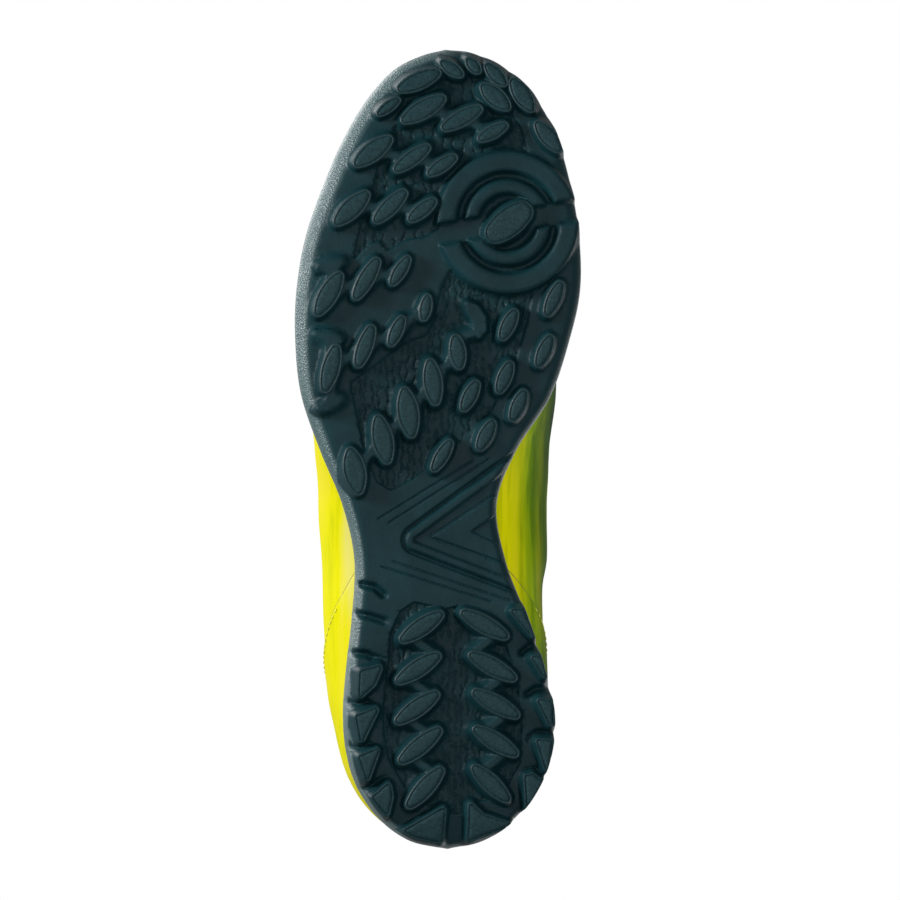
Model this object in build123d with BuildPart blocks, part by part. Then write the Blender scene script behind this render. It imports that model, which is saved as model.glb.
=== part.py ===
from build123d import *
from math import atan2, degrees, hypot
import os

os.makedirs("parts", exist_ok=True)

# ---------------------------------------------------------------- dimensions
AXIS_X = 4.0           # long axis of the foot: ridge of the upper, centre of the throat
LUG_HEIGHT = 4.5       # stud tips (z = 0 at the ball) up to the tread surface
LUG_ROOT = 7.0         # studs start this high, inside the rubber
LUG_DRAFT = 8          # degrees a side, wider towards the sole
RUBBER_TOP = 7.3       # inside bottom of the rubber cup
SOLE_INSET = 5.0       # rounding of the lower edge of the cup
WALL = 4.2             # cup wall thickness, outline to upper
GAP = 0.3              # clearance between neighbouring curved layers
SHELL = 1.4            # outer material of the upper
BACKING = 1.0          # foam, toe puff and heel counter layer
LINING = 0.6
OVERLAY = 0.8
BOARD = 1.5
SOCK_FOAM = 3.6
INNER_INSET = 8.2      # outline to the layers inside the lining
EYESTAY_FRONT_Y = -61.0
COLLAR_MARGIN = 3.0    # heel panel stops this far below the topline
TOE_PUFF_Y = -112.0
COUNTER_Y = 74.0
COLLAR_FOAM = 5.0
COLLAR_BAND = 22.0     # depth of the padded band below the topline
COLLAR_FRONT_Y = 32.0
TONGUE_SHELL = 1.0
TONGUE_FOAM = 3.5
SLIT = 0.15            # half the gap left along a butted seam
FAR = 200              # beyond the shoe in any direction
BALL_Y = -70.0         # sole rises towards the toe from here
TOE_SPRING_R = 234.0
HEEL_BEVEL_Y = 125.0
HEEL_BEVEL = 130.0
THROAT_END_Y = -70.0   # rounded front end of the throat
THROAT_FLOOR = 45.0    # top-view cuts start at this height
THROAT_TOP_Y = 8.0     # where the throat reaches the topline
THROAT_HALF = (8.0, 18.0)  # half width at the front end and at the top
EYESTAY_W = 14.0
TONGUE_HALF = (15.0, 25.0)  # half width at the root and near the top
TONGUE_ROOT_Y = -74.0
TONGUE_TOP_Y = 26.0
TONGUE_UNDERSIDE = [(-80, 42), (30, 72)]
HOLE_R = 1.9           # lace holes
HOLE_COUNT = 6
HOLE_FIRST_Y = -58.0
HOLE_PITCH = 12.5
HOLE_EDGE = 7.0                              # throat edge to hole centre
LACE_R = 1.3
LACE_ROOM = 2.9                              # room between lace and tongue
TAIL = 7.0                                   # tucked end of the lace

# (ridge y, lateral outline point, medial outline point), toe to heel
STATIONS = [
    (-118, (4, -145), (4, -145)),
    (-117, (-5, -142.6), (13, -143.9)),
    (-114, (-15, -137.3), (24, -139)),
    (-109, (-25, -126.3), (34.5, -129.5)),
    (-101, (-34, -111.5), (42.5, -115.5)),
    (-90, (-41.5, -94.5), (47.7, -97.5)),
    (-75, (-47.8, -76.5), (51, -77.5)),
    (-58, (-51, -58), (51.4, -58)),
    (-40, (-51.5, -40), (47.6, -40)),
    (-20, (-49.4, -20), (40.4, -19)),
    (0, (-42.6, 0), (28, 0.5)),
    (20, (-34.3, 20), (20.9, 20)),
    (40, (-29.8, 40), (24.3, 41)),
    (60, (-30.6, 61), (32, 61)),
    (78, (-32.6, 80), (38.3, 80)),
    (92, (-33.6, 96), (41.7, 95.5)),
    (102, (-32.6, 109), (41, 109)),
    (109, (-29.3, 121), (36.8, 121.5)),
    (114, (-22, 132.6), (28.4, 133.4)),
    (117, (-10.5, 141.6), (16.7, 141.8)),
    (118, (4, 145), (4, 145)),
]
LATERAL, MEDIAL = 1, 2
STEPS = 2              # facets between two stations

# (y, value) tables along the shoe
RIDGE_Z = [(-120, 50), (-97, 57), (-70, 68), (-40, 82), (-10, 96), (15, 106), (45, 110), (85, 107), (120, 104)]
MIDSOLE_TOP = [(-145, 11.5), (-50, 11.5), (70, 17.5), (145, 18)]
LIP = [(-145, 21), (-120, 17), (-90, 15.5), (-40, 15.5), (0, 16), (30, 17.5), (70, 21), (110, 24), (145, 25)]
SHOULDER = [(-144, 13), (-125, 18), (-100, 24), (-50, 32), (15, 36), (60, 30), (100, 27), (130, 24), (143, 22)]
SIDE_Z = [(-144, 42), (-100, 42), (-50, 50), (-10, 55), (30, 50), (60, 47), (100, 55), (143, 65)]
BULGE = {
    LATERAL: [(-144, 3), (-100, 4), (-50, 6), (-10, 14), (30, 30), (60, 29), (90, 19), (105, 13), (143, 8)],
    MEDIAL: [(-144, 3), (-100, 3), (-60, 4), (-30, 10), (-5, 30), (13, 50), (35, 46), (60, 34), (75, 22),
             (100, 14), (143, 8)],
}

# side-view lines (y, z)
TOPLINE = [(8, 100), (30, 84), (60, 71), (85, 69), (110, 75), (128, 86), (150, 94)]
VAMP_SEAM = [(-20, 5), (-62, 74), (-66, 125)]
HEEL_PANEL_FRONT = [(36, 5), (44, 30), (66, 62), (96, 80), (110, 100)]

# tread: (x, y, length, width, turn) of every straight stud
FOREFOOT_STUDS = [
    (-7.1, -133.4, 16.5, 5.5, -24), (5, -137.9, 9, 4, 34), (12.9, -139.1, 6.5, 3.6, 50),
    (21.3, -136.6, 10, 4.6, 48), (30.4, -128.4, 13.5, 5.7, 58), (39.6, -113.2, 13.4, 5.4, 51),
    (20.6, -127.6, 13, 6, 42), (-18.4, -123.9, 9.5, 3, -37),
    (-5.7, -123, 17.8, 6, -30), (8.2, -119.8, 16, 5, -29), (19.4, -114.8, 11.6, 4, -29),
    (-24.3, -107.6, 16.5, 6, -37.5), (-10.2, -105.1, 15.2, 4.6, -36), (0.7, -102.6, 12, 4, -34),
    (-32.3, -86.9, 16.5, 6, -44), (-18.3, -87.6, 15.8, 5, -45), (-6.7, -86.3, 12, 4.2, -39),
    (-40.7, -55.9, 17.3, 6, -60), (-27, -61.4, 16.6, 4.8, -60), (-14.8, -64.3, 11.6, 3.8, -58),
    (-40, -29, 17, 5.5, -75), (-27.6, -37, 15.6, 4.8, -70), (-16.1, -42.5, 11.1, 3.8, -66),
    (-5.5, -51, 9, 3.5, -80),
]
MIDFOOT_STUDS = [
    (-31.3, 8, 16.6, 7, 78), (-21.1, -3.4, 17.3, 6.6, 78), (-11.9, -13.1, 17.8, 6.8, 81),
    (-2.9, -24.1, 16.2, 5.9, 82.5), (6.1, -35, 11.9, 5, 82), (11.8, -46.3, 11, 3.4, 62),
    (41.1, -54.3, 13.1, 4.4, -66), (37.7, -35.4, 12, 4.3, -66), (24.6, -44.9, 11.7, 4.4, -64),
    (23.2, -25.9, 11.8, 4.4, -68), (10.6, -19.1, 11.7, 4.4, -63), (28.2, -15.7, 11.7, 4.4, -66),
    (16.4, -4.9, 11.7, 4.4, -63), (0.4, 2.5, 12.5, 4, -59),
]
HEEL_STUDS = [
    (-7, 64.4, 18, 5.5, -34), (-8.2, 79.3, 18.4, 5.5, -33), (-8.6, 93.6, 18.5, 5.5, -35),
    (-7.5, 107.3, 19, 5.5, -39), (-5.7, 122.5, 18.6, 5.5, -48), (15.9, 63.6, 18.9, 5.5, 29),
    (18.8, 78.8, 18.8, 5.5, 29), (20, 92.3, 18.6, 5.5, 29), (19.9, 105.9, 18.3, 5.5, 32),
    (18.2, 121.1, 17.9, 5.5, 44),
]
# corners (x, y) of the blocks round the heel edge
HEEL_BLOCKS = [
    [(-29, 80.5), (-21.8, 78.5), (-24.5, 85), (-29.5, 89.5)],
    [(-30.4, 96.8), (-23.2, 93.9), (-28.9, 105.4)],
    [(-29.3, 111.4), (-22.9, 108.6), (-26.8, 119.3)],
    [(-24.6, 126.1), (-18.9, 121.1), (-18.2, 125.7), (-19.6, 132.1)],
    [(-27.5, 50), (-21.5, 51), (-21, 57), (-27.8, 58)],
    [(-28, 62), (-21.5, 63), (-22, 69), (-28.4, 70)],
    [(-12.9, 138.2), (1.4, 130), (0.4, 142), (-9.3, 140)],
    [(10.7, 128.6), (15, 132.9), (24.6, 136.1), (10.4, 141.4)],
    [(26, 58.5), (29.5, 58.5), (34, 68)],
    [(33.5, 75.5), (37, 75.5), (38, 82.5)],
    [(35.7, 91), (40.2, 91.8), (40.2, 100)],
    [(35.4, 105.7), (39.9, 106), (38.8, 116.4)],
    [(31.1, 118.6), (33.2, 118.2), (36.6, 120.7), (31.8, 130)],
]
PIVOT = (24.5, -82.0, 0.75)                  # centre of the turning rings under the big toe joint
PIVOT_TILT = 0.03
BALL_LIFT = 2.0                              # the rings follow the rise of the sole
BLOCK_LIFT = 0.3                             # heel blocks are this much shorter than the studs
PIVOT_RINGS = [(25.2, 19.3), (14.8, 11.3)]   # outer and inner radius of each ring
PIVOT_BAND = (62, 9, -10.3)                  # smooth band across the rings: length, width, turn
PIVOT_PAD = (9.8, 5.2, -38)                  # centre ellipse: half axes, turn
# arch ribs: (tip x, tip y, far x, far y) of each arm of the nested chevrons
ARCH_RIBS = [(-12.9, 31, 22, 9.6), (-12.9, 35, 27, 48.5), (-2.5, 31.8, 19.6, 17.1), (-2.5, 31.8, 25, 41.8),
             (11.1, 30, 20.4, 23.9), (11.1, 30, 22.9, 35.4)]
ARCH_RIB_WIDTH = 2.4
ARCH_RIB_HEIGHT = 1.2


# depth of each layer's outer face below the outside of the upper
BACKING_AT = SHELL + GAP
LINING_AT = BACKING_AT + BACKING + GAP
COLLAR_LINING_AT = BACKING_AT + COLLAR_FOAM + GAP
LACE_UNDER = LINING_AT + LINING + GAP + LACE_R
TONGUE_AT = LACE_UNDER + LACE_R + LACE_ROOM
TONGUE_FOAM_AT = TONGUE_AT + TONGUE_SHELL + GAP
TONGUE_LINING_AT = TONGUE_FOAM_AT + TONGUE_FOAM + GAP
SOCK_AT = BOARD + GAP
COVER_AT = SOCK_AT + SOCK_FOAM + GAP
LACE_OVER = GAP + OVERLAY + GAP + LACE_R
LACE_CROSS = LACE_R + GAP / 2   # each strand's share of the gap where two cross


# ------------------------------------------------------------------- helpers
def slope(table, k):
    before, after = table[max(k - 1, 0)], table[min(k + 1, len(table) - 1)]
    return (after[1] - before[1]) / (after[0] - before[0])


def along(y, table):
    """Smooth value at y from a (y, value) table."""
    if y <= table[0][0]:
        return table[0][1]
    if y >= table[-1][0]:
        return table[-1][1]
    i = max(k for k in range(len(table) - 1) if table[k][0] <= y)
    (y0, v0), (y1, v1) = table[i], table[i + 1]
    h = y1 - y0
    s = (y - y0) / h
    rise = (2 * s**3 - 3 * s**2 + 1) * v0 + (3 * s**2 - 2 * s**3) * v1
    return rise + (s**3 - 2 * s**2 + s) * h * slope(table, i) + (s**3 - s**2) * h * slope(table, i + 1)


def rocker(y):
    """How far the sole has risen off flat ground at y."""
    return max(0, BALL_Y - y) ** 2 / (2 * TOE_SPRING_R) + max(0, y - HEEL_BEVEL_Y) ** 2 / HEEL_BEVEL


def rocker_slope(y):
    return -max(0, BALL_Y - y) / TOE_SPRING_R + 2 * max(0, y - HEEL_BEVEL_Y) / HEEL_BEVEL


def fan(side):
    """Upright section planes turning from the toe round one side to the heel."""
    feet = [(k, station[0]) for k, station in enumerate(STATIONS)]
    rims = [[(k, station[side][axis]) for k, station in enumerate(STATIONS)] for axis in (0, 1)]
    for step in range((len(STATIONS) - 1) * STEPS + 1):
        foot = Vector(AXIS_X, along(step / STEPS, feet))
        rim = Vector(along(step / STEPS, rims[0]), along(step / STEPS, rims[1]))
        outward = (rim - foot).normalized()
        plane = Plane(origin=foot, x_dir=outward, z_dir=outward.cross(Vector(0, 0, 1)))
        yield plane, (rim - foot).length, rim.Y, foot.Y


def half_last(side, skin, drop):
    """One side of the foot-shaped core; skin grows it, drop lowers its underside."""
    with BuildPart() as half:
        for plane, reach, y, foot_y in fan(side):
            low = rocker(y) + along(y, MIDSOLE_TOP)
            low_foot = rocker(foot_y) + along(foot_y, MIDSOLE_TOP)
            edge = reach - WALL + skin
            top = along(foot_y, RIDGE_Z) + skin
            with BuildSketch(plane):
                with BuildLine():
                    Bezier((edge, low), (edge + along(y, BULGE[side]), along(y, SIDE_Z)),
                           (along(y, SHOULDER), top), (0, top))
                    Polyline((0, top), (0, low_foot - drop), (edge, low - drop), (edge, low))
                make_face()
        loft(ruled=True)
    return half.part


def last(skin, drop=GAP):
    return half_last(LATERAL, skin, drop).fuse(half_last(MEDIAL, skin, drop))


def half_slab(side, bottom, top, inset, bevel):
    """Layer of the bottom stack between two heights above the rocker, with a bevelled lower edge."""
    with BuildPart() as half:
        for plane, reach, y, foot_y in fan(side):
            edge = reach - inset
            low, high = rocker(y) + bottom(y), rocker(y) + top(y)
            low_foot, high_foot = rocker(foot_y) + bottom(foot_y), rocker(foot_y) + top(foot_y)
            with BuildSketch(plane):
                with BuildLine():
                    Line((0, high_foot), (0, low_foot))
                    Line((0, low_foot), (edge - bevel, low))
                    Bezier((edge - bevel, low), (edge - bevel / 3, low), (edge, low + bevel / 2), (edge, high))
                    Line((edge, high), (0, high_foot))
                make_face()
        loft(ruled=True)
    return half.part


def slab(bottom, top, inset, bevel):
    return half_slab(LATERAL, bottom, top, inset, bevel).fuse(half_slab(MEDIAL, bottom, top, inset, bevel))


def layer(depth, thickness):
    """Skin of the upper, its outer face this far inside the outside of the shoe."""
    return last(-depth) - last(-depth - thickness, 3)


def side_block(*corners):
    """Block with a side-view outline, right across the shoe."""
    with BuildPart() as block:
        with BuildSketch(Plane.YZ):
            Polygon(*corners, align=None)
        extrude(amount=FAR, both=True)
    return block.part


def above(line, shift=0):
    """Everything above a smooth side-view line."""
    points = [(y, z + shift) for y, z in line]
    with BuildPart() as block:
        with BuildSketch(Plane.YZ):
            with BuildLine():
                Spline(*points)
                Polyline(points[-1], (points[-1][0], FAR), (points[0][0], FAR), points[0])
            make_face()
        extrude(amount=FAR, both=True)
    return block.part


def ahead_of_seam(shift=0):
    """Everything in front of the seam between vamp and quarters."""
    seam = [(y + shift, z) for y, z in VAMP_SEAM]
    return side_block((-FAR, seam[0][1]), *seam, (-FAR, seam[-1][1]))


def beside(side):
    """Everything on one side of the back seam."""
    turn = -1 if side == LATERAL else 1
    with BuildPart() as block:
        with Locations((AXIS_X + turn * (SLIT + FAR / 2), 0, 0)):
            Box(FAR, 2 * FAR, 2 * FAR)
    return block.part


def throat_half(y):
    front, top = THROAT_HALF
    shoulder = THROAT_END_Y + front
    return front + (top - front) * (y - shoulder) / (THROAT_TOP_Y - shoulder)


def throat(grow=0):
    """Block over the throat opening, its outline moved out by grow."""
    front, top = THROAT_HALF[0] + grow, THROAT_HALF[1] + grow
    shoulder = THROAT_END_Y + THROAT_HALF[0]
    with BuildPart() as block:
        with BuildSketch(Plane((AXIS_X, 0, THROAT_FLOOR))):
            with BuildLine():
                ThreePointArc((-front, shoulder), (0, THROAT_END_Y - grow), (front, shoulder))
                Polyline((front, shoulder), (top, THROAT_TOP_Y), (top, FAR), (-top, FAR),
                         (-top, THROAT_TOP_Y), (-front, shoulder))
            make_face()
        extrude(amount=FAR)
    return block.part


def collar_band(depth, front):
    """Block below the topline holding the padded collar."""
    behind = side_block((front, 0), (FAR, 0), (FAR, FAR), (front, FAR))
    return (above(TOPLINE, -depth) - above(TOPLINE)) & behind


def tread_plane(x, y):
    """Upward plane at the stud tips, tilted with the rocker."""
    return Plane(origin=(x, y, rocker(y)), x_dir=(1, 0, 0), z_dir=(0, -rocker_slope(y), 1))


def surface_plane(x, y):
    """Plane on the outside of the upper, over (x, y) near the throat."""
    point, normal = max(upper_last.find_intersection_points(Axis((x, y, 0), (0, 0, 1))), key=lambda hit: hit[0].Z)
    return Plane(origin=point, z_dir=normal)


def lace_hole(turn, n):
    """Place of the nth lace hole from the toe; turn is -1 lateral, +1 medial."""
    y = HOLE_FIRST_Y + n * HOLE_PITCH
    return AXIS_X + turn * (throat_half(y) + HOLE_EDGE), y


def lifted(x, y, height):
    plane = surface_plane(x, y)
    return plane.origin + plane.z_dir * height


def crossing(turn, n):
    """Lace past hole n on one side, over the tongue and through hole n + 1 on the other side."""
    (x0, y0), (x1, y1) = lace_hole(turn, n), lace_hole(-turn, n + 1)
    last_one = n + 2 == HOLE_COUNT
    far = LACE_OVER if last_one else -LACE_UNDER
    edges = [AXIS_X + turn * throat_half(y0), AXIS_X - turn * throat_half(y1)]
    shares = [(edge - x0) / (x1 - x0) for edge in edges]
    middle = (LACE_OVER + far) / 2 + turn * LACE_CROSS
    route = []
    for share, height in [(shares[0], LACE_OVER), (0.5, middle), (shares[1], far)]:
        route.append(lifted(x0 + share * (x1 - x0), y0 + share * (y1 - y0), height))
    return route + [lifted(x1, y1, far), lifted(x1, y1, -LACE_UNDER if last_one else LACE_OVER)]


def strand(turn):
    """Half of the lace: from under the first hole on one side to its tucked end."""
    route = [lifted(*lace_hole(turn, 0), -LACE_UNDER), lifted(*lace_hole(turn, 0), LACE_OVER)]
    for n in range(HOLE_COUNT - 1):
        route += crossing(turn if n % 2 == 0 else -turn, n)
    end = lace_hole(turn if HOLE_COUNT % 2 else -turn, HOLE_COUNT - 1)
    return route + [lifted(end[0], end[1] - TAIL, -LACE_UNDER)]


def finish(name, part):
    part.label = name
    export_step(part, f"parts/{name}.step")
    print(name, part.is_valid, round(part.volume), len(part.solids()))


# ------------------------------------------------------------- shared blocks
upper_last = last(0)
upper_shell = layer(0, SHELL)
backing_layer = layer(BACKING_AT, BACKING)
lining_layer = layer(LINING_AT, LINING)
overlay_layer = last(GAP + OVERLAY) - last(GAP, 3)
opening = throat() + above(TOPLINE)
sole_cover = slab(lambda y: 0, lambda y: along(y, LIP) + GAP, -WALL, 1)
with BuildPart() as lace_holes:
    for turn in (-1, 1):
        for n in range(HOLE_COUNT):
            with Locations(surface_plane(*lace_hole(turn, n))):
                Cylinder(HOLE_R, 4 * LACE_UNDER)

# ------------------------------------------------------------------- outsole
with BuildPart() as studs:
    for x, y, length, width, turn in FOREFOOT_STUDS + MIDFOOT_STUDS + HEEL_STUDS:
        with BuildSketch(tread_plane(x, y)):
            SlotOverall(length, width, rotation=turn)
    for corners in HEEL_BLOCKS:
        middle_y = sum(y for x, y in corners) / len(corners)
        with BuildSketch(tread_plane(0, middle_y).offset(BLOCK_LIFT)):
            Polygon(*[(x, y - middle_y) for x, y in corners], align=None)
    extrude(amount=LUG_ROOT, taper=-LUG_DRAFT)

with BuildPart() as pivot:
    with BuildSketch(Plane(origin=PIVOT, x_dir=(1, 0, 0), z_dir=(0, PIVOT_TILT, 1))):
        for outer, inner in PIVOT_RINGS:
            Circle(outer)
            Circle(inner, mode=Mode.SUBTRACT)
        length, width, turn = PIVOT_BAND
        Rectangle(length, width, rotation=turn, mode=Mode.SUBTRACT)
        half_x, half_y, turn = PIVOT_PAD
        Ellipse(half_x, half_y, rotation=turn)
    extrude(amount=LUG_ROOT + BALL_LIFT)

with BuildPart() as arch_ribs:
    with BuildSketch(Plane.XY.offset(LUG_HEIGHT - ARCH_RIB_HEIGHT)):
        for x0, y0, x1, y1 in ARCH_RIBS:
            with Locations(((x0 + x1) / 2, (y0 + y1) / 2)):
                length = hypot(x1 - x0, y1 - y0) + ARCH_RIB_WIDTH
                SlotOverall(length, ARCH_RIB_WIDTH, rotation=degrees(atan2(y1 - y0, x1 - x0)))
    extrude(amount=2 * ARCH_RIB_HEIGHT)

with BuildPart() as outsole:
    add(slab(lambda y: LUG_HEIGHT, lambda y: along(y, LIP), 0, SOLE_INSET))
    add(studs.part)
    add(pivot.part)
    add(arch_ribs.part)
    add(slab(lambda y: RUBBER_TOP, lambda y: along(y, MIDSOLE_TOP), WALL, 2), mode=Mode.SUBTRACT)
    add(last(GAP, 1), mode=Mode.SUBTRACT)
finish("outsole", outsole.part)

# -------------------------------------------------- bottom stack in the cup
with BuildPart() as midsole:
    add(slab(lambda y: RUBBER_TOP + GAP, lambda y: along(y, MIDSOLE_TOP) - 2 * GAP, WALL + GAP, 2))
finish("midsole", midsole.part)

with BuildPart() as lasting_board:
    add(slab(lambda y: along(y, MIDSOLE_TOP), lambda y: along(y, MIDSOLE_TOP) + BOARD, INNER_INSET, 0.5))
finish("lasting_board", lasting_board.part)

with BuildPart() as sockliner_foam:
    add(slab(lambda y: along(y, MIDSOLE_TOP) + SOCK_AT, lambda y: along(y, MIDSOLE_TOP) + SOCK_AT + SOCK_FOAM,
             INNER_INSET, 1))
finish("sockliner_foam", sockliner_foam.part)

with BuildPart() as sockliner_cover:
    add(slab(lambda y: along(y, MIDSOLE_TOP) + COVER_AT, lambda y: along(y, MIDSOLE_TOP) + COVER_AT + LINING,
             INNER_INSET, 0.2))
finish("sockliner_cover", sockliner_cover.part)

# ------------------------------------------------------------ outer material
with BuildPart() as vamp:
    add(upper_shell & ahead_of_seam(-SLIT))
    add(opening, mode=Mode.SUBTRACT)
    add(lace_holes.part, mode=Mode.SUBTRACT)
finish("vamp", vamp.part)

for name, side in [("quarter_lateral", LATERAL), ("quarter_medial", MEDIAL)]:
    with BuildPart() as quarter:
        add(upper_shell & beside(side))
        add(ahead_of_seam(SLIT), mode=Mode.SUBTRACT)
        add(opening, mode=Mode.SUBTRACT)
        add(lace_holes.part, mode=Mode.SUBTRACT)
    finish(name, quarter.part)

eyestay_zone = side_block((EYESTAY_FRONT_Y, 0), (COLLAR_FRONT_Y, 0), (COLLAR_FRONT_Y, FAR), (EYESTAY_FRONT_Y, FAR))
for name, side in [("eyestay_lateral", LATERAL), ("eyestay_medial", MEDIAL)]:
    with BuildPart() as eyestay:
        add(overlay_layer & beside(side) & throat(EYESTAY_W))
        add(eyestay_zone, mode=Mode.INTERSECT)
        add(throat(1), mode=Mode.SUBTRACT)
        add(above(TOPLINE, -1), mode=Mode.SUBTRACT)
        add(lace_holes.part, mode=Mode.SUBTRACT)
    finish(name, eyestay.part)

with BuildPart() as heel_panel:
    add(overlay_layer)
    add(side_block((-FAR, 0), *HEEL_PANEL_FRONT, (HEEL_PANEL_FRONT[-1][0], FAR), (-FAR, FAR)), mode=Mode.SUBTRACT)
    add(above(TOPLINE, -COLLAR_MARGIN), mode=Mode.SUBTRACT)
    add(sole_cover, mode=Mode.SUBTRACT)
finish("heel_panel", heel_panel.part)

# ------------------------------------------------ backing, stiffeners, lining
toe_block = side_block((-FAR, 0), (TOE_PUFF_Y, 0), (TOE_PUFF_Y + 8, FAR), (-FAR, FAR))
heel_block = side_block((COUNTER_Y, 0), (FAR, 0), (FAR, FAR), (COUNTER_Y + 14, 58))
soft_collar = collar_band(COLLAR_BAND + GAP, COLLAR_FRONT_Y - GAP)

with BuildPart() as toe_puff:
    add(backing_layer & toe_block)
finish("toe_puff", toe_puff.part)

with BuildPart() as heel_counter:
    add(backing_layer & heel_block)
    add(above(TOPLINE, -COLLAR_BAND - GAP), mode=Mode.SUBTRACT)
finish("heel_counter", heel_counter.part)

with BuildPart() as upper_backing:
    add(backing_layer)
    add(side_block((-FAR, 0), (TOE_PUFF_Y + GAP, 0), (TOE_PUFF_Y + 8 + GAP, FAR), (-FAR, FAR)), mode=Mode.SUBTRACT)
    add(side_block((COUNTER_Y - GAP, 0), (FAR, 0), (FAR, FAR), (COUNTER_Y + 14 - GAP, 58)), mode=Mode.SUBTRACT)
    add(opening, mode=Mode.SUBTRACT)
    add(soft_collar, mode=Mode.SUBTRACT)
    add(lace_holes.part, mode=Mode.SUBTRACT)
finish("upper_backing", upper_backing.part)

with BuildPart() as vamp_lining:
    add(lining_layer & ahead_of_seam(-SLIT))
    add(opening, mode=Mode.SUBTRACT)
    add(lace_holes.part, mode=Mode.SUBTRACT)
finish("vamp_lining", vamp_lining.part)

with BuildPart() as quarter_lining:
    add(lining_layer)
    add(ahead_of_seam(SLIT), mode=Mode.SUBTRACT)
    add(opening, mode=Mode.SUBTRACT)
    add(soft_collar, mode=Mode.SUBTRACT)
    add(lace_holes.part, mode=Mode.SUBTRACT)
finish("quarter_lining", quarter_lining.part)

with BuildPart() as collar_padding:
    add(layer(BACKING_AT, COLLAR_FOAM) & collar_band(COLLAR_BAND, COLLAR_FRONT_Y))
finish("collar_padding", collar_padding.part)

with BuildPart() as collar_lining:
    add(layer(COLLAR_LINING_AT, LINING) & collar_band(COLLAR_BAND, COLLAR_FRONT_Y))
finish("collar_lining", collar_lining.part)

# ------------------------------------------------------------ tongue and lace
with BuildPart() as tongue_block:
    with BuildSketch(Plane((AXIS_X, 0, THROAT_FLOOR))):
        root, top = TONGUE_HALF
        with BuildLine():
            Polyline((-top, THROAT_TOP_Y), (-root, TONGUE_ROOT_Y), (root, TONGUE_ROOT_Y), (top, THROAT_TOP_Y))
            ThreePointArc((top, THROAT_TOP_Y), (0, TONGUE_TOP_Y), (-top, THROAT_TOP_Y))
        make_face()
    extrude(amount=FAR)

tongue_side = side_block(*TONGUE_UNDERSIDE, (TONGUE_UNDERSIDE[1][0], FAR), (TONGUE_UNDERSIDE[0][0], FAR))
for name, depth, thickness in [("tongue_shell", TONGUE_AT, TONGUE_SHELL), ("tongue_padding", TONGUE_FOAM_AT, TONGUE_FOAM),
                               ("tongue_lining", TONGUE_LINING_AT, LINING)]:
    with BuildPart() as tongue:
        add(layer(depth, thickness) & tongue_block.part & tongue_side)
    finish(name, tongue.part)

with BuildPart() as lace:
    bar = lifted(AXIS_X, HOLE_FIRST_Y, -LACE_UNDER)
    route = [*reversed(strand(1)), bar, *strand(-1)]
    with BuildLine() as lace_path:
        Polyline(*route)
    with BuildSketch(Plane(origin=route[0], z_dir=route[1] - route[0])):
        Circle(LACE_R)
    sweep(path=lace_path.wires()[0], transition=Transition.ROUND)
print("lace length", round(lace_path.wires()[0].length))
finish("lace", lace.part)
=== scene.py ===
from math import cos, pi, radians, sin

import bmesh
import bpy
import numpy as np
from mathutils import Matrix, Vector
from mathutils.geometry import delaunay_2d_cdt
from mathutils.kdtree import KDTree


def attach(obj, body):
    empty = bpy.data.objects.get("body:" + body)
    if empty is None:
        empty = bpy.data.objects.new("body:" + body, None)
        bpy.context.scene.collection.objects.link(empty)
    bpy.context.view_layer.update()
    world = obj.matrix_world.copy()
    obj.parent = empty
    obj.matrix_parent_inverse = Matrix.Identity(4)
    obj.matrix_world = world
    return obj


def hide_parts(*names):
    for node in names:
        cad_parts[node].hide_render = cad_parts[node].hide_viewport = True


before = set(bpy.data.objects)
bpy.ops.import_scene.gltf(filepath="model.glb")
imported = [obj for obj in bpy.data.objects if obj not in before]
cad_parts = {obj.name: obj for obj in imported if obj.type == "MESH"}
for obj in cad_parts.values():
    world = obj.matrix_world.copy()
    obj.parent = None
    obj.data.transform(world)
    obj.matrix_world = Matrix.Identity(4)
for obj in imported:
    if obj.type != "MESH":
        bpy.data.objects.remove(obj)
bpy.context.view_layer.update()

# everything below is worked out in millimetres and written to meshes in metres
MM = 0.001
rng = np.random.default_rng(11)

# ------------------------------------------------------------ shape of the shoe (as in the CAD)
AXIS_X = 4.0           # long axis of the foot: ridge of the upper, centre of the throat
U_END = 20             # u runs from 0 at the toe to this at the heel, one unit for each station
# ridge y, lateral outline point, medial outline point, from toe to heel
STATIONS = [
    (-118, (4, -145), (4, -145)), (-117, (-5, -142.6), (13, -143.9)), (-114, (-15, -137.3), (24, -139)),
    (-109, (-25, -126.3), (34.5, -129.5)), (-101, (-34, -111.5), (42.5, -115.5)),
    (-90, (-41.5, -94.5), (47.7, -97.5)), (-75, (-47.8, -76.5), (51, -77.5)), (-58, (-51, -58), (51.4, -58)),
    (-40, (-51.5, -40), (47.6, -40)), (-20, (-49.4, -20), (40.4, -19)), (0, (-42.6, 0), (28, 0.5)),
    (20, (-34.3, 20), (20.9, 20)), (40, (-29.8, 40), (24.3, 41)), (60, (-30.6, 61), (32, 61)),
    (78, (-32.6, 80), (38.3, 80)), (92, (-33.6, 96), (41.7, 95.5)), (102, (-32.6, 109), (41, 109)),
    (109, (-29.3, 121), (36.8, 121.5)), (114, (-22, 132.6), (28.4, 133.4)),
    (117, (-10.5, 141.6), (16.7, 141.8)), (118, (4, 145), (4, 145)),
]
LATERAL, MEDIAL = 1, 2          # places in a row of STATIONS
SIDES = (LATERAL, MEDIAL)
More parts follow.
